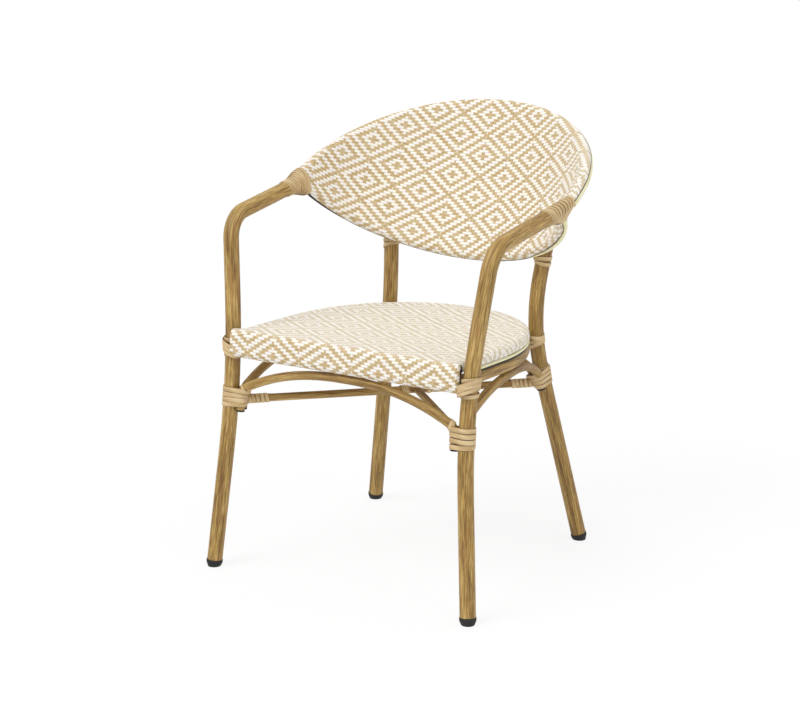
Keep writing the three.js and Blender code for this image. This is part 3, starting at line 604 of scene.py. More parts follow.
base_ring = ring_line(BASE_Z, DATUM_Y + 12.3)
sling_ring = ring_line(SLING_Z, DATUM_Y + 10.3)
tube("seat_base_hoop", base_ring, BASE_TUBE)
tube("seat_sling_hoop", sling_ring, SLING_TUBE, sides=28)
for node, end_x, z, radius in (("seat_base_front_bar", BASE_BAR_END, BASE_Z, BASE_TUBE),
                               ("seat_sling_front_bar", SLING_BAR_END, SLING_Z, SLING_TUBE)):
    bar = [Vector((side * end_x, DATUM_Y, z)) for side in (-1, 1)]
    tube(node, even_steps(bar, 20), radius)
print("seat frame made, ring stations:", len(base_ring))

# %% [markdown]
# ## Arches and stretchers
#
# Four thin arches brace the legs under the seat, and two rods cross below them. Each arch
# leaves its leg inside the binding, turns over a short shoulder and spans in a flat curve. A
# curve pulled towards its corner makes the shoulder, and a power of the distance from the
# middle makes the span, which stays flatter than an arc of a circle.

# %% Arches
ARCH_TUBE = 8.0
ARCH_OFFSET = LEG_TUBE + ARCH_TUBE + GAP
BEND_Z, SHOULDER_Z, SHOULDER_IN = 320.0, 340.0, 15.0
FLATNESS = 2.35
SHOULDER_STEPS, CROWN_STEPS = 10, 48


def at_height(line, height):
    """Where a rising line passes a height, and which way it points there."""
    for start, end in zip(line, line[1:]):
        if end.z >= height:
            share = (height - start.z) / (end.z - start.z)
            return start.lerp(end, share), way(start, end)
    raise ValueError("the line ends below that height")


def metres(line):
    return round(sum((end - start).length for start, end in zip(line, line[1:])) / 1000.0, 3)


def pulled_curve(points, count):
    """A smooth curve from the first point to the last, pulled towards those between."""
    def at(t):
        layer = [Vector(point) for point in points]
        while len(layer) > 1:
            layer = [a.lerp(b, t) for a, b in zip(layer, layer[1:])]
        return layer[0]
    return [at(k / count) for k in range(count + 1)]


def arch_line(start_foot, end_foot, crest, bow):
    """Up from one leg, over the crest, bowed outward in plan, and down the other leg."""
    def foot(line, lean, tip, z):
        return at_height(line, z)[0] + lean * ARCH_OFFSET
    start, end = foot(*start_foot, BEND_Z), foot(*end_foot, BEND_Z)
    half = (end - start).length / 2
    middle = start.lerp(end, 0.5)
    across = way(start, end)
    outward = across.cross(UP).normalized()
    shoulder = half - SHOULDER_IN

    def place(s, z):
        swell = bow * max(0.0, 1.0 - (s / shoulder) ** 2)
        point = middle + across * s + outward * swell
        point.z = z
        return point
    knee_z = SHOULDER_Z - FLATNESS * (crest - SHOULDER_Z) / shoulder * SHOULDER_IN
    rise = pulled_curve([start, place(-half, knee_z), place(-shoulder, SHOULDER_Z)], SHOULDER_STEPS)
    fall = pulled_curve([place(shoulder, SHOULDER_Z), place(half, knee_z), end], SHOULDER_STEPS)
    crown = []
    for k in range(1, CROWN_STEPS):
        s = shoulder * (-1 + 2 * k / CROWN_STEPS)
        crown.append(place(s, crest - (crest - SHOULDER_Z) * abs(s / shoulder) ** FLATNESS))
    tips = [foot(*start_foot, start_foot[2]), foot(*end_foot, end_foot[2])]
    return [tips[0]] + rise + crown + fall + [tips[1]]


def arch_foot(end, word, lean_x, lean_y):
    """The leg that an arch stands at, the side of the leg it lies on, and its tip's height."""
    lean = Vector((SIDES[word] * lean_x, lean_y, 0)).normalized()
    return legs[end, word], lean, 296.0 if end == "front" else 305.0


def under_ring(y):
    return seat_z(BASE_Z, y) - BASE_TUBE - GAP - ARCH_TUBE


front_feet = {word: arch_foot("front", word, -1, 1) for word in SIDES}
rear_feet = {word: arch_foot("rear", word, 0.18, -1) for word in SIDES}
arches = {
    "front_arch": arch_line(
        arch_foot("front", "left", -1, 0), arch_foot("front", "right", -1, 0), 384.4, 0.0),
    "right_arch": arch_line(front_feet["right"], rear_feet["right"], under_ring(0), 10.0),
    "left_arch": arch_line(rear_feet["left"], front_feet["left"], under_ring(0), 10.0),
    "rear_arch": arch_line(
        arch_foot("rear", "right", -1, 0), arch_foot("rear", "left", -1, 0), under_ring(204.0), 14.0),
}
for name, line in arches.items():
    tube(name, line, ARCH_TUBE, sides=24)
print("arch lengths in metres:", {name: metres(line) for name, line in arches.items()})

# %% [markdown]
# The two rods cross in the middle, where the second one is cut so that the first runs through.

# %% Stretchers
STRETCHER_TUBE = 7.0
STRETCHER_Z = 311.0
FRONT_INSET, REAR_INSET = 32.0, 25.0


def stretcher(front_word, rear_word):
    """Start, end and direction of a rod between two bindings."""
    start = at_height(legs["front", front_word], STRETCHER_Z)[0]
    end = at_height(legs["rear", rear_word], STRETCHER_Z)[0]
    along = way(start, end)
    return start + along * FRONT_INSET, end - along * REAR_INSET, along


through_start, through_end, through_way = stretcher("left", "right")
cross_start, cross_end, cross_way = stretcher("right", "left")
crossing = through_start.lerp(through_end, through_start.x / (through_start.x - through_end.x))
sine = abs(through_way.cross(cross_way).z)
notch = cross_way * (STRETCHER_TUBE * (1.0 + abs(through_way.dot(cross_way))) / sine + GAP)
for node, start, end in (("stretcher_through", through_start, through_end),
                         ("stretcher_near_half", cross_start, crossing - notch),
                         ("stretcher_far_half", crossing + notch, cross_end)):
    tube(node, even_steps([start, end], 15), STRETCHER_TUBE, sides=24)
print("stretchers cross", round(crossing.z, 1), "mm above the floor")

# %% [markdown]
# ## The back's rim
#
# Two thin tubes sweep round the back, one above the other, and close in a tight bend at the
# end of each arm. The sling is stretched between them. Each is part of a leaning ellipse, and
# a pulled curve that leaves both in line makes the bend, or nose.

# %% Rim lines
RIM_TUBE = 9.0
RIM_STATIONS = 100
LOW_REAR_Y, LOW_SLOPE, LOW_DEPTH = 199.656, 0.719867, 237.4995


def upper_rim_point(angle):
    return Vector((283.5 * math.sin(angle), 68.0 + 251.656 * math.cos(angle),
                   679.0 + 117.5 * math.cos(angle)))


def lower_rim_point(angle):
    drop = LOW_DEPTH * (1.0 - math.cos(angle))
    return Vector((276.5 * math.sin(angle), LOW_REAR_Y - drop * math.cos(LOW_SLOPE),
                   533.0 + drop * math.sin(LOW_SLOPE)))


def rim_line(point, sweep):
    return [point(sweep * (-1.0 + 2.0 * k / RIM_STATIONS)) for k in range(RIM_STATIONS + 1)]


upper_rim = rim_line(upper_rim_point, math.pi / 2)
lower_rim = rim_line(lower_rim_point, 1.335)
tube("back_upper_rim", upper_rim, RIM_TUBE, sides=28)
tube("back_lower_rim", lower_rim, RIM_TUBE, sides=28)
for word, side in SIDES.items():
    last, before = (RIM_STATIONS, RIM_STATIONS - 1) if side > 0 else (0, 1)
    leads = []
    for rim in (upper_rim, lower_rim):
        along = way(rim[before], rim[last])
        leads.append([rim[last] + along * reach for reach in (GAP, 3.0, 18.0)])
    (start, start_bend, start_pull), (end, end_bend, end_pull) = leads
    line = [start] + pulled_curve([start_bend, start_pull, end_pull, end_bend], 20) + [end]
    tube(f"back_rim_nose_{word}", line, RIM_TUBE, sides=28)
print("rim lengths in metres: upper", metres(upper_rim), "lower", metres(lower_rim))

# %% [markdown]
# ## Pipings
#
# A pale cord runs along the edge of the seat sling, tucked under it against the ring, and a
# black cord fills the gap between the two rings as painted shade. They are rods on lines
# beside the ring.

# %% Seat piping
PIPING_REACH, PIPING_ANGLE = SLING_TUBE + 3.5, -0.86
PIPING_FRONT_Y = -150.0


def heading(line, index):
    """Which way a line runs at one of its points."""
    total = Vector()
    if index > 0:
        total += way(line[index - 1], line[index])
    if index < len(line) - 1:
        total += way(line[index], line[index + 1])
    return total.normalized()


def ring_out(index):
    return heading(sling_ring, index).cross(UP).normalized()


def beside_ring(index, out, up):
    return sling_ring[index] + ring_out(index) * out + UP * up


# The black cord is painted shade: a dark rod standing in for the shade in the gap between the sling
# ring and the base ring.
seat_gap_shade = [beside_ring(index, 8.3, -14.8) for index in range(2, len(sling_ring) - 2)]
settle(rod("seat_gap_shade_cord", seat_gap_shade, 1.7, 12), black, [])
seat_piping = [beside_ring(index, PIPING_REACH * math.cos(PIPING_ANGLE),
                           PIPING_REACH * math.sin(PIPING_ANGLE))
               for index, point in enumerate(sling_ring) if point.y > PIPING_FRONT_Y]
tube("seat_piping", seat_piping, 2.6, cream, 16)
print("lengths in metres: seat piping", metres(seat_piping), "black cord", metres(seat_gap_shade))

# %% [markdown]
# On the back, each rim tube carries a low pale band beside the cloth's edge, and a thin black
# line closes the groove between band and cloth. On the lower rim both change their width on
# the way round. A bevelled curve can't do that, so each is a skin over rings of points.

# %% Skins
def mesh_piece(name, corners, faces, flats, weld=None):
    """A piece from points in millimetres, its faces, and each point's place on its own map."""
    mesh = bpy.data.meshes.new(name)
    mesh.from_pydata([to_frame(corner) for corner in corners], [], faces)
    layer = mesh.uv_layers.new(name="along")
    for loop in mesh.loops:
        layer.data[loop.index].uv = flats[loop.vertex_index]
    piece = new_piece(name, mesh)
    clean(piece, weld)
    return piece


def skin(name, rings, flats, material, nodes):
    """A closed piece with a skin from each ring of points to the next, and flat ends."""
    wide = len(rings[0])
    corners = [point for ring in rings for point in ring]
    faces = []
    for r in range(len(rings) - 1):
        near, far = r * wide, (r + 1) * wide
        for c in range(wide):
            beside = (c + 1) % wide
            faces.append((near + c, near + beside, far + beside, far + c))
    faces += [tuple(range(wide)), tuple(range(len(corners) - wide, len(corners)))]
    piece = mesh_piece(name, corners, faces, [flat for ring in flats for flat in ring])
    smooth(piece, 50.0)
    return settle(piece, material, nodes)


# %% Back pipings
UPPER_HEM, UPPER_GROOVE = 1.05, 0.14
BAND_BASE = RIM_TUBE + 0.1
BAND_RING = [(k / 10, 1) for k in range(11)] + [(0.75, 0), (0.5, 0), (0.25, 0)]
BAND_TIP = 6.0


def rise_over(value, low, high):
    """0 up to low, 1 from high on, and a smooth rise between."""
    share = min(1.0, max(0.0, (value - low) / (high - low)))
    return share * share * (3.0 - 2.0 * share)


def rim_frame(line, index):
    """Out and up directions square to a rim tube, up pointing from the lower to the upper rim."""
    rise = way(lower_rim[index], upper_rim[index])
    along = heading(line, index)
    upright = (rise - along * rise.dot(along)).normalized()
    out = along.cross(upright).normalized()
    if out.dot(Vector((line[index].x, line[index].y, 0))) < 0:
        out.negate()
    return out, upright


def round_rim(line, index, radius, angle):
    out, upright = rim_frame(line, index)
    return line[index] + out * radius * math.cos(angle) + upright * radius * math.sin(angle)


def lower_hem(i):
    """How far round the lower rim the cloth ends, from straight out. Less is further round."""
    return (1.15 + 0.47 * (1.0 - rise_over(i, 11, 17)) + 0.57 * rise_over(i, 68, 75)
            - 0.25 * rise_over(i, 82, 88) - 0.57 * rise_over(i, 88, 95))


def lower_groove(i):
    """How much of the lower rim lies black between the cloth and the band."""
    return (0.05 + 0.9 * (1.0 - rise_over(i, 13, 18))
            + 0.14 * rise_over(i, 74, 80) * (1.0 - rise_over(i, 88, 93)))


def rim_band(name, line, angles, thick, material, *nodes):
    """A low rounded band on a rim tube, between two angles that change on the way."""
    rings, flats, length = [], [], 0.0
    for index in range(len(line)):
        low, high = angles(index)
        if index:
            length += (line[index] - line[index - 1]).length / 1000.0
        rings.append([])
        for share, raised in BAND_RING:
            radius = BAND_BASE + raised * thick * math.sin(math.pi * share) ** 0.5
            rings[-1].append(round_rim(line, index, radius, low + (high - low) * share))
        flats.append([(share * 0.01, length) for share, _ in BAND_RING])
    for near, beside in ((0, 1), (-1, -2)):
        onward = way(line[beside], line[near]) * BAND_TIP
        place = 0 if near == 0 else len(rings)
        rings.insert(place, [point + onward for point in rings[near]])
        flats.insert(place, flats[near])
    return skin(name, rings, flats, material, nodes)


rim_band("back_piping_upper_tube", upper_rim, lambda i: (-0.15, UPPER_HEM - UPPER_GROOVE),
         3.2, cream, "back_piping_upper")
rim_band("back_piping_lower_tube", lower_rim, lambda i: (lower_groove(i) - lower_hem(i), 0.1),
         3.2, cream, "back_piping_lower")
rim_band("groove_cord_upper", upper_rim,
         lambda i: (UPPER_HEM - UPPER_GROOVE - 0.02, UPPER_HEM), 2.0, black)
rim_band("groove_cord_lower", lower_rim,
         lambda i: (-lower_hem(i), lower_groove(i) - lower_hem(i) + 0.02), 2.8, black)

# %% [markdown]
# ## Woven slings
#
# Each sling is one sheet. It is laid out as a fine grid of points over the tubes that it is
# stretched on, with its own map in metres of flat cloth, so the woven diamonds keep their
# size and run straight on over the edges. Solidify then gives the sheet its thickness.

# %% Sheets
SHEET = 1.4


def sheet_piece(name, grids, material, node):
    """Grids are rows of (place, flat place). Grids that share points are sewn together."""
    corners, flats, faces = [], [], []
    for grid in grids:
        first, wide = len(corners), len(grid[0])
        for row in grid:
            corners += [place for place, _ in row]
            flats += [flat for _, flat in row]
        for r in range(len(grid) - 1):
            for c in range(wide - 1):
                a = first + r * wide + c
                faces.append((a, a + 1, a + wide + 1, a + wide))
    piece = mesh_piece(name, corners, faces, flats, weld=2e-5)
    area = sum(face.area for face in piece.data.polygons)
    solid = piece.modifiers.new("thickness", "SOLIDIFY")
    solid.thickness = SHEET / 1000.0
    solid.offset = 0.0
    solid.use_even_offset = True
    bpy.ops.object.modifier_apply(modifier=solid.name)
    smooth(piece, 50.0)
    return settle(piece, material, [node], "woven_textilene"), area


def cut_size(rows):
    """Width and length of the cloth that these rows' flat places are cut from."""
    flats = [flat for row in rows for _, flat in row]
    return [max(flat[k] for flat in flats) - min(flat[k] for flat in flats) for k in (0, 1)]


print("cloth thickness in mm:", SHEET)

# %% [markdown]
# The seat's rows run from the edge under the ring, over it, to the seat's middle line, where
# the cloth dips a little. The apron carries on over the front bars, and its ends roll in.

# %% Seat rows
SAG = 4.5
WRAP, SPAN = 10, 26
INNER = SLING_TUBE + GAP + SHEET / 2
HEM = -0.5


def seat_row(index):
    middle, out = sling_ring[index], ring_out(index)
    reach = 1.0 - abs(1.0 - 2.0 * index / (len(sling_ring) - 1))
    front_y = sling_ring[0].y
    spine_y = front_y + (RING_Y + RING_DEPTH / 2 - front_y) * reach
    row = []
    edge = middle + UP * INNER
    for k in range(WRAP + 1):
        angle = HEM + (math.pi / 2 - HEM) * k / WRAP
        place = middle + out * INNER * math.cos(angle) + UP * INNER * math.sin(angle)
        beyond = INNER * (math.pi / 2 - angle)
        flat = Vector((edge.x + out.x * beyond, edge.y + out.y * beyond)) / 1000.0
        row.append((place, flat))
    for k in range(1, SPAN + 1):
        share = k / SPAN
        place = edge.lerp(Vector((0, spine_y, 0)), share)
        dish = math.sin(math.pi / 2 * share) * math.sin(math.pi / 2 * min(1.0, 2.0 * reach))
        place.z = seat_z(SLING_Z + INNER, place.y) - SAG * dish
        row.append((place, Vector((place.x, place.y)) / 1000.0))
    return row


seat_rows = [seat_row(index) for index in range(len(sling_ring))]
print("seat rows:", len(seat_rows), "of", len(seat_rows[0]), "points")

# %% Apron
LOW_INNER = BASE_TUBE + GAP + SHEET / 2
APRON_ENDS = {1: 229.0, -1: 235.0}
APRON_ROLLS = {1: 4.0, -1: -5.0}
front = seat_rows[0][WRAP:] + list(reversed(seat_rows[-1][WRAP:-1]))
columns = len(front) - 1


def beside_bar(z, reach, angle):
    """Where the cloth lies round a front bar, as (y, z)."""
    return DATUM_Y + reach * math.cos(angle), z + reach * math.sin(angle)


profile = [beside_bar(SLING_Z, INNER, math.pi / 2 * (1 + k / WRAP)) for k in range(WRAP + 1)]
top, low = profile[WRAP], (DATUM_Y - LOW_INNER, BASE_Z)
profile += [(top[0] + (low[0] - top[0]) * k / 5, top[1] + (low[1] - top[1]) * k / 5)
            for k in range(1, 5)]
profile += [beside_bar(BASE_Z, LOW_INNER, math.pi + 1.5 * k / WRAP) for k in range(WRAP + 1)]
apron = [front]
flat_y = DATUM_Y
for k, (y, z) in enumerate(profile):
    if k:
        flat_y -= math.hypot(y - profile[k - 1][0], z - profile[k - 1][1])
    x_places = [APRON_ENDS[1] - (APRON_ENDS[1] + APRON_ENDS[-1]) * c / columns
                for c in range(columns + 1)]
    apron.append([(Vector((x, y, z)), Vector((x, flat_y)) / 1000.0) for x in x_places])


def curled_end(side, column):
    """The apron's edge rolls in over the ends of the bars."""
    rows = []
    for (y, z), row in zip(profile, apron[1:]):
        rim = Vector((side * APRON_ENDS[side], y, z))
        core = Vector((side * APRON_ENDS[side], DATUM_Y, min(SLING_Z, max(BASE_Z, z))))
        curl = []
        for k in range(7):
            angle = 1.25 * k / 6
            place = core + (rim - core) * math.cos(angle)
            place.x += APRON_ROLLS[side] * math.sin(angle)
            curl.append((place, row[column][1] + Vector((side * 0.0018 * k, 0))))
        rows.append(curl)
    return rows


seat_grids = [seat_rows, apron, curled_end(1, 0), curled_end(-1, columns)]
seat_sling, seat_area = sheet_piece("seat_sling_cloth", seat_grids, seat_weave, "seat_sling")
print("seat sling flat area:", round(seat_area, 4), "m2, apron ends at flat y", round(flat_y, 1))

# %% [markdown]
# The back sling is a bent band between two rims of different length, so its flat cut is a
# curved strip. It is rolled out flat here, one narrow slice after another from the middle to
# each side, and the weave is read from that flat cut.

# %% Back sling
HOLLOW = 5.0
RIM_WRAP, RIM_SPAN = 10, 24
RIM_INNER = RIM_TUBE + GAP + SHEET / 2
low_edge = [round_rim(lower_rim, i, RIM_INNER, math.pi) for i in range(RIM_STATIONS + 1)]
high_edge = [round_rim(upper_rim, i, RIM_INNER, math.pi) for i in range(RIM_STATIONS + 1)]


def roll_out(flat_a, flat_b, a, b, point, turn):
    """The flat place of a point, from its distances to two points already laid flat."""
    along = flat_b - flat_a
    width = along.length
    near, far = (point - a).length, (point - b).length
    x = (near ** 2 - far ** 2 + width ** 2) / (2 * width)
    y = math.sqrt(max(0.0, near ** 2 - x ** 2))
    along /= width
    return flat_a + along * x + Vector((-along.y, along.x)) * turn * y


half = RIM_STATIONS // 2
flat_low = {half: Vector((0, 0))}
flat_high = {half: Vector((0, (high_edge[half] - low_edge[half]).length))}
for turn, order in ((-1, range(half + 1, RIM_STATIONS + 1)), (1, range(half - 1, -1, -1))):
    for i in order:
        j = i + turn
        low, high, last_high = low_edge[i], high_edge[i], high_edge[j]
        flat_low[i] = roll_out(flat_low[j], flat_high[j], low_edge[j], last_high, low, turn)
        flat_high[i] = roll_out(flat_low[i], flat_high[j], low, last_high, high, turn)


def back_row(i):
    """From the hem on the lower rim, up the hollow cloth, to the hem on the upper rim."""
    edge = math.sin(math.pi * i / RIM_STATIONS)
    slope = (flat_high[i] - flat_low[i]).normalized()
    out = rim_frame(lower_rim, i)[0]
    hem = lower_hem(i)
    row = []
    for k in range(RIM_WRAP + 1):
        share = k / RIM_WRAP
        place = round_rim(lower_rim, i, RIM_INNER, -hem - (math.pi - hem) * share)
        beyond = RIM_INNER * (math.pi - hem) * (1 - share)
        row.append((place, (flat_low[i] - slope * beyond) / 1000.0))
    for k in range(1, RIM_SPAN):
        share = k / RIM_SPAN
        place = low_edge[i].lerp(high_edge[i], share)
        place += out * HOLLOW * edge * math.sin(math.pi * share)
        row.append((place, flat_low[i].lerp(flat_high[i], share) / 1000.0))
    for k in range(RIM_WRAP + 1):
        share = k / RIM_WRAP
        place = round_rim(upper_rim, i, RIM_INNER, math.pi - (math.pi - UPPER_HEM) * share)
        beyond = RIM_INNER * (math.pi - UPPER_HEM) * share
        row.append((place, (flat_high[i] + slope * beyond) / 1000.0))
    return row


def further_on(row, beside):
    """One more row past an end of the cloth, 8 mm on at the lower rim and 3 mm at the upper."""
    on = []
    for k, ((place, flat), (near, near_flat)) in enumerate(zip(row, beside)):
        reach = 8.0 - 5.0 * k / (len(row) - 1)
        flat_way = (flat - near_flat).normalized()
        on.append((place + way(near, place) * reach, flat + flat_way * reach / 1000.0))
    return on


rows = [back_row(i) for i in range(RIM_STATIONS + 1)]
back_rows = [further_on(rows[0], rows[1]), *rows, further_on(rows[-1], rows[-2])]
back_sling, back_area = sheet_piece("back_sling_cloth", [back_rows], back_weave, "back_sling")
print("back sling flat area:", round(back_area, 4), "m2")

# %% [markdown] The size of the flat cloth that each sling was cut from is worked out and
# printed.

seat_cut, back_cut = cut_size(seat_rows + apron), cut_size(back_rows)
print("flat cuts:", [round(x, 3) for x in seat_cut], [round(x, 3) for x in back_cut])

# %% [markdown]
# ## Bindings
#
# A binding is one long flat strip wound round the tubes that it ties. Pulled taut, it follows
# the shortest way round them, which is worked out first. The strip then climbs that way turn
# by turn, leans where it crosses from one tube to the other, and lies over the turns below it
# where it crosses them. Its flat side has to face the tubes all the way round, so it is a
# skin over rings of points, too.

# %% The way round
def way_round(circles, count=64, spokes=240):
    """The taut way round circles (x, y, radius): even stations of (x, y, out x, out y)."""
    path = []
    for k in range(spokes + 1):
        angle = math.tau * k / spokes
        out = (math.cos(angle), math.sin(angle))
        x, y, radius = max(circles, key=lambda c: c[0] * out[0] + c[1] * out[1] + c[2])
        path.append((x + radius * out[0], y + radius * out[1], *out))
    lengths = [0.0]
    for here, there in zip(path, path[1:]):
        lengths.append(lengths[-1] + math.hypot(there[0] - here[0], there[1] - here[1]))
    stations, k = [], 0
    for n in range(count + 1):
        want = lengths[-1] * n / count
        while k < len(path) - 2 and lengths[k + 1] < want:
            k += 1
        share = (want - lengths[k]) / max(1e-9, lengths[k + 1] - lengths[k])
        stations.append([a + (b - a) * min(1.0, share) for a, b in zip(path[k], path[k + 1])])
    return stations


def between(stations, share):
    place = (share % 1.0) * (len(stations) - 1)
    k = min(int(place), len(stations) - 2)
    return [a + (b - a) * (place - k) for a, b in zip(stations[k], stations[k + 1])]


LEG = (0.0, 0.0, LEG_TUBE)
print("half way round a leg, in mm:", [round(part, 1) for part in between(way_round([LEG]), 0.5)[:2]])

# %% Winding a strip
STRIP_EDGE = ((-0.5, 0.0), (-0.5, 0.5), (-0.4, 0.86), (-0.16, 1.0),
              (0.16, 1.0), (0.4, 0.86), (0.5, 0.5), (0.5, 0.0))
STEPS = 44
TUCK_TURN, TUCK_DEPTH = 0.12, 1.4


def no_lean(turn):
    return 0.0, 0.0


def lash(name, origin, axis, circles, start, turns, lean=no_lean, layer=lambda turn: 0.0,
         first=0.0, pitch=7.8, width=7.5, thick=1.6, replaced=True):
    """Winds a strip round an axis, from start millimetres along it and for so many turns.

    circles and lean give what it goes round and its slope, turn by turn, and layer how many
    strips it lies on. first says where round the tubes it begins, and pitch how far it climbs.
    """
    across = Vector((1, 0, 0)) if abs(axis.x) < 0.7 else Vector((0, 1, 0))
    east = (across - axis * axis.dot(across)).normalized()
    north = axis.cross(east)
    middle, outward = [], []
    fixed = None if callable(circles) else way_round(circles)
    for k in range(round(turns * STEPS) + 1):
        turn = k / STEPS
        stations = fixed or way_round(circles(turn, start + pitch * turn))
        x, y, out_x, out_y = between(stations, first + turn)
        slope_x, slope_y = lean(turn)
        tuck = 1.0 - min(1.0, turn / TUCK_TURN, (turns - turn) / TUCK_TURN)
        lift = 0.15 + thick * layer(turn) - TUCK_DEPTH * max(0.0, tuck)
        wander = 0.5 * math.sin(turn * 5.3 + start)
        climb = start + pitch * turn + slope_x * x + slope_y * y + wander
        out = (east * out_x + north * out_y).normalized()
        middle.append(Vector(origin) + east * x + north * y + axis * climb + out * lift)
        outward.append(out)
    print(name, "strip length in metres:", metres(middle))
    rings, flats, length = [], [], 0.0
    for k, (place, out) in enumerate(zip(middle, outward)):
        along = heading(middle, k)
        out = (out - along * out.dot(along)).normalized()
        side = along.cross(out)
        if k:
            length += (place - middle[k - 1]).length / 1000.0
        rings.append([place + side * share * width + out * height * thick
                      for share, height in STRIP_EDGE])
        flats.append([(share, length) for share, _ in STRIP_EDGE])
    return skin(name + "_strip", rings, flats, strip, [name] if replaced else [])


print("a strip has", STEPS, "steps to a turn")

# %% [markdown]
# Each leg has a binding at the arches, and another at the seat. The strip round the front
# legs also ties the seat's bar, and a small loop holds each shoulder of the front arch. The
# last strip is below the back, on the rear legs.

# %% What the strips go round
def round_front(side):
    """The front leg and the two arch ends beside it. The front arch bends away higher up."""
    def circles(turn, s):
        away = ARCH_OFFSET + 14.0 * rise_over(s, 8.0, 32.0)
        return [LEG, (-side * away, 0.0, ARCH_TUBE), (-side * 15.8, 15.8, ARCH_TUBE)]
    return circles


def round_rear(side):
    """The rear leg and its arch ends. The last turn goes round the leg alone."""
    def circles(turn, s):
        arch_ends = [(-side * ARCH_OFFSET, 0.0, ARCH_TUBE), (side * 3.95, -21.95, ARCH_TUBE)]
        return [LEG] if turn > 3.9 else [LEG] + arch_ends
    return circles


def round_bar(side):
    """The front leg, and in the middle turns the seat's bar beside it."""
    def circles(turn, s):
        grown = rise_over(turn, 0.6, 1.5) * (1.0 - rise_over(turn, 3.4, 4.3))
        return [LEG, (-side * 2.4 * grown, -9.0 * grown, LEG_TUBE - 1.2 * grown)]
    return circles


def round_spacer(side):
    """The rear leg, and higher up the spacer in front of it."""
    def circles(turn, s):
        grown = rise_over(s, -2, 9)
        return [LEG, (-side * 5.0 * grown, -7.0 * grown, 11.5)]
    return circles


print("a front binding starts round", len(round_front(1)(0.0, 0.0)), "tubes")

# %% Bindings at the legs
LOWER_Z, FRONT_SEAT_Z, REAR_SEAT_Z, POST_Z = 315.0, 403.0, 390.0, 536.0


def front_bindings(word, side):
    line = legs["front", word]
    place, axis = at_height(line, LOWER_Z)
    low, slant = (-17.5, -0.1) if side > 0 else (-14.5, -0.08)
    lash(f"lower_binding_front_{word}", place, axis, round_front(side), low, 3.9,
         lean=lambda turn: (slant * rise_over(turn, 0.2, 2.0), 0.0),
         layer=lambda turn: 0.12 * turn, first=0.25, pitch=9.4, width=8.9)
    arch = arches["front_arch"] if side < 0 else arches["front_arch"][::-1]
    shoulder, onward = arch[SHOULDER_STEPS - 1], arch[SHOULDER_STEPS + 1]
    lash(f"shoulder_loop_{word}", shoulder, way(shoulder, onward), [(0.0, 0.0, ARCH_TUBE)],
         -6.0, 1.7, lean=lambda turn: (side * 0.3, 0.0), first=0.55, pitch=5.0, width=6.0,
         thick=1.2, replaced=False)
    place, axis = at_height(line, FRONT_SEAT_Z)
    low, slope = (-17.0, 0.52) if side > 0 else (-12.5, -0.75)

    def steep_then_flat(turn):
        return slope * rise_over(turn, 0.4, 1.7) * (1.0 - 0.75 * rise_over(turn, 3.4, 4.6)), 0.0
    lash(f"seat_binding_front_{word}", place, axis, round_bar(side), low, 4.9,
         lean=steep_then_flat, layer=lambda turn: 0.4 * min(turn, 3.0), first=0.25, pitch=6.7)


def rear_bindings(word, side):
    line = legs["rear", word]

    def tilt(turn):
        return side * (0.12 * min(turn, 3.4) - 0.14 - 0.34 * rise_over(turn, 3.6, 4.1)), 0.0
    lash(f"lower_binding_rear_{word}", *at_height(line, LOWER_Z), round_rear(side), -5.0, 5.0,
         lean=tilt, layer=lambda turn: 0.4 * min(turn, 3.6) * (1.0 - rise_over(turn, 3.7, 4.2)),
         first=0.4, pitch=6.6)
    lash(f"seat_binding_rear_{word}", *at_height(line, REAR_SEAT_Z), [LEG], -9.0, 3.0,
         lean=lambda turn: (side * 0.3 * math.sin(turn * 2.1), 0.0), first=0.4)
    lash(f"post_binding_{word}", *at_height(line, POST_Z), round_spacer(side), -5.0, 2.2,
         lean=lambda turn: (side * (0.25 * turn - 0.3), 0.0), first=0.35)


for word in SIDES:
    front_bindings(word, SIDES[word])
    rear_bindings(word, SIDES[word])
print("leg bindings wound")

# %% [markdown]
# The binding at the end of an arm starts on the arm tube and runs on over the nose of the back
# rim, so it grows from a round to a tall oval. It leans back there, as the nose does. A second
# strip lies half a turn behind it and a little deeper, so that nothing shows between turns.

# %% Bindings at the arms
ARM_START, ARM_PITCH = -42.0, 6.9


def round_nose(side):
    """The arm tube's end, and round it an oval that grows to hold the nose."""
    def circles(turn, s):
        grown = rise_over(s, -30.0, 20.0)
        radius = LEG_TUBE - 3.6 * grown
        return [(side * 8.6 * grown, -10.3 * grown, radius),
                (-side * 5.9 * grown, 14.8 * grown, radius),
                (0.0, 0.0, LEG_TUBE - 4.0 * rise_over(s, 1.0, 14.0))]
    return circles


def back_over(turn):
    s = ARM_START + ARM_PITCH * turn
    return 0.0, 0.2 - 0.2 * rise_over(s, ARM_START, -10.0) - 0.24 * rise_over(s, -10.0, 20.0)


for word, side in SIDES.items():
    tip, axis = legs["front", word][-1], way(*legs["front", word][-2:])
    for kind, first, sunk in (("binding", 0.1, 0.0), ("underlay", 0.6, -0.65)):
        lash(f"arm_{kind}_{word}", tip, axis, round_nose(side), ARM_START, 9.3, lean=back_over,
             layer=lambda turn, sunk=sunk: sunk, first=first, pitch=ARM_PITCH, width=7.2,
             replaced=kind == "binding")
print("arm bindings wound")

# %% Bindings on the stretcher
meeting = (crossing - through_start).length
full = (through_end - through_start).length
for word, start, turns in (("front", -3.0, 5.2), ("near_middle", meeting - 29.0, 1.6),
                           ("far_middle", meeting + 17.0, 1.6), ("rear", full - 5.2 * 7.8 + 2.0, 5.2)):
    lash(f"stretcher_binding_{word}", through_start, through_way,
         [(0.0, 0.0, STRETCHER_TUBE)], start, turns)

# %% [markdown]
# ## Plugs, foot caps and spacers
#
# Black plugs close the tubes' ends. Each starts as a cylinder with many sides, gets rounded
# edges, and is then turned onto its tube.

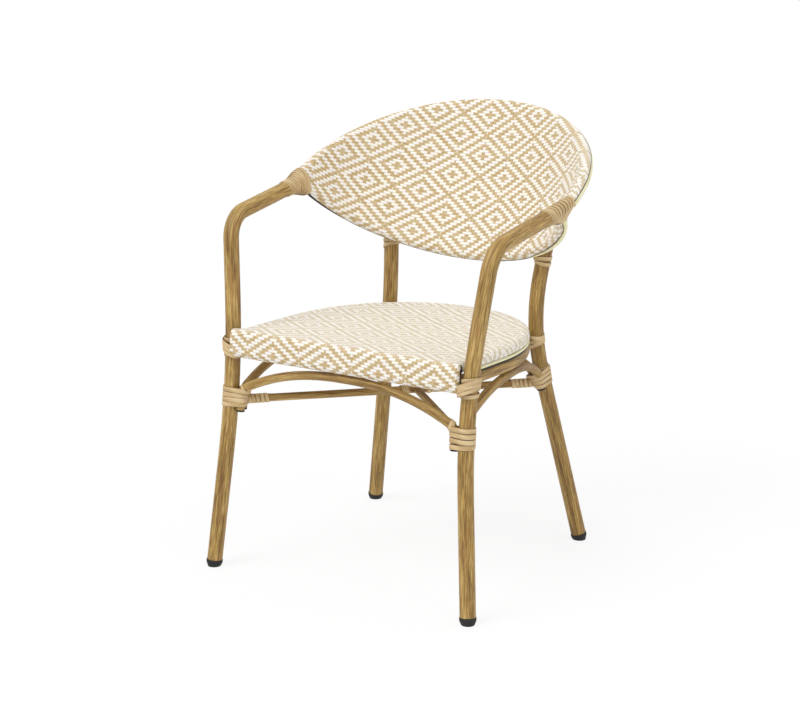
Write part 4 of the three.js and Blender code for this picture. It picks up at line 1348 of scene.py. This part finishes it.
# %% Plugs
def stand_on(piece, place, outward):
    """Turns a piece's Z onto outward and moves it to a place in the frame."""
    turn = outward.to_track_quat("Z", "Y").to_matrix().to_4x4()
    piece.data.transform(Matrix.Translation(place) @ turn)


def plug(node, tip, inside, radius, thickness, edge=0.8):
    """A disc with rounded edges on a tube's tip, away from a point inside the tube."""
    bpy.ops.object.select_all(action="DESELECT")
    bpy.ops.mesh.primitive_cylinder_add(vertices=48, radius=radius / 1000.0, depth=thickness / 1000.0)
    piece = bpy.context.object
    piece.name = f"{node}_disc"
    bevel = piece.modifiers.new("edge", "BEVEL")
    bevel.width = edge / 1000.0
    bevel.segments = 3
    bevel.limit_method = "ANGLE"
    bpy.ops.object.modifier_apply(modifier=bevel.name)
    outward = way(inside, tip)
    stand_on(piece, to_frame(Vector(tip) + outward * (thickness / 2 + GAP)), outward)
    smooth(piece)
    return settle(piece, black, [node])


for word, side in SIDES.items():
    rear, arm = legs["rear", word], legs["front", word]
    plug(f"rear_leg_plug_{word}", rear[-1], rear[-2], LEG_TUBE, 2.0)
    plug(f"arm_end_plug_{word}", arm[-1], arm[-2], LEG_TUBE, 3.0, 1.0)
    plug(f"seat_bar_plug_{word}", (side * SLING_BAR_END, DATUM_Y, SLING_Z), (0.0, DATUM_Y, SLING_Z),
         SLING_TUBE, 2.0)
tips = {
    "front_arch": ("front_left", "front_right"),
    "right_arch": ("front_right", "rear_right"),
    "left_arch": ("rear_left", "front_left"),
}
for name, (first, second) in tips.items():
    line = arches[name]
    plug(f"{name}_plug_{first}", line[0], line[1], ARCH_TUBE, 3.0)
    plug(f"{name}_plug_{second}", line[-1], line[-2], ARCH_TUBE, 3.0)

# %% [markdown]
# A black rubber cap stands under each leg. Its half outline is spun round the leg's axis, as
# on a lathe. The legs lean, so the spun cap reaches below the floor and is cut off level there.

# %% Foot caps
FOOT_OUTLINE = [(0.0, -4.0), (10.8, -4.0), (11.4, -1.0), (12.8, 2.6), (14.2, 5.4), (14.8, 7.6),
                (14.9, 12.2), (14.5, 13.0), (0.0, 13.0)]


def foot_cap(node, foot, rise):
    corners = [(radius / 1000.0, 0.0, height / 1000.0) for radius, height in FOOT_OUTLINE]
    mesh = bpy.data.meshes.new(f"{node}_rubber")
    mesh.from_pydata(corners, [(k, k + 1) for k in range(len(corners) - 1)], [])
    cap = new_piece(mesh.name, mesh)
    bpy.ops.object.mode_set(mode="EDIT")
    bpy.ops.mesh.select_all(action="SELECT")
    bpy.ops.mesh.spin(steps=48, angle=math.tau, center=(0, 0, 0), axis=(0, 0, 1))
    bpy.ops.object.mode_set(mode="OBJECT")
    clean(cap, weld=1e-5)
    stand_on(cap, to_frame(foot), rise)
    bpy.ops.object.mode_set(mode="EDIT")
    bpy.ops.mesh.select_all(action="SELECT")
    bpy.ops.mesh.bisect(plane_co=(0, 0, 0), plane_no=(0, 0, 1), clear_inner=True, use_fill=True)
    bpy.ops.object.mode_set(mode="OBJECT")
    smooth(cap)
    return settle(cap, rubber, [node])


for (end, word), line in legs.items():
    cap = foot_cap(f"foot_cap_{end}_{word}", line[0], way(line[0], line[1]))
print("foot caps made, points in each:", len(cap.data.vertices))

# %% [markdown]
# The spacers keep their plain shape from the frame, because they are short pins that hardly
# show. They only get the black paint.

# %% Spacers
spacers = [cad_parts[f"{kind}_spacer_{word}"] for kind in ("seat", "back") for word in SIDES]
for node in spacers:
    node.data.materials.clear()
    node.data.materials.append(black)
print("spacers painted:", len(spacers))

# %% [markdown]
# ## Floor and light
#
# The photograph stands on plain white. The floor is a pale matt plane that still takes the
# chair's shadow, and the world shows white to the camera while it lights the chair softly.
# More light would whiten the floor too, but it would also wash out the cloth.

# %% Floor
WHITE = (1.0, 1.0, 1.0, 1.0)


def looked_at(paint):
    """1 where the camera, a gloss or a clear thing looks, and 0 for the light itself."""
    camera_ray, glossy, clear = (paint.node("ShaderNodeLightPath", out=f"Is {kind} Ray")
                                 for kind in ("Camera", "Glossy", "Transmission"))
    return camera_ray.math("MAXIMUM", glossy).math("MAXIMUM", clear)


bpy.ops.object.select_all(action="DESELECT")
bpy.ops.mesh.primitive_plane_add(size=40.0, location=(0, 0, 0))
floor = bpy.context.object
floor.name = "floor"
paint = Paint("floor_white")
matt = paint.node("ShaderNodeBsdfDiffuse", None, {"Color": (0.92, 0.92, 0.92, 1.0)})
glow = paint.node("ShaderNodeEmission", None, {"Color": WHITE, "Strength": 1.0})
mixed = paint.node("ShaderNodeMixShader", None, [looked_at(paint) * 0.85, matt, glow])
floor.data.materials.append(paint.show(mixed))
print("floor nodes:", len(paint.tree.nodes))

# %% World
studio = Paint("studio", bpy.data.worlds)
height = studio.split(studio.node("ShaderNodeTexCoord", out="Generated"))[2]
climb = studio.node("ShaderNodeMapRange", None, [height, 0.0, 1.0, 0.34, 0.96])
soft, white = (studio.node("ShaderNodeBackground", None, {"Color": WHITE, "Strength": strength})
               for strength in (climb, 1.0))
mixed = studio.node("ShaderNodeMixShader", None, [looked_at(studio), soft, white])
bpy.context.scene.world = studio.show(mixed, "ShaderNodeOutputWorld")
print("world nodes:", len(studio.tree.nodes))

# %% [markdown]
# Two broad suns model the round tubes: a main one from the left above, and a faint one from
# the right. A sun lights the near and the far leg alike, as a large studio lamp far off does.

# %% Lamps
def lamp(name, azimuth, elevation, strength, softness):
    data = bpy.data.lights.new(name, "SUN")
    data.energy = strength
    data.angle = math.radians(softness)
    item = bpy.data.objects.new(name, data)
    a, e = math.radians(azimuth), math.radians(elevation)
    toward = Vector((math.cos(e) * math.sin(a), -math.cos(e) * math.cos(a), math.sin(e)))
    item.rotation_euler = toward.to_track_quat("Z", "Y").to_euler()
    item.location = toward * 3.0
    bpy.context.scene.collection.objects.link(item)
    print(name, "lamp:", strength, "from", azimuth, elevation)


lamp("key", -25.0, 52.0, 1.3, 30.0)
lamp("fill", 75.0, 35.0, 0.37, 50.0)

# %% Picture settings
bpy.context.scene.view_settings.view_transform = "Standard"
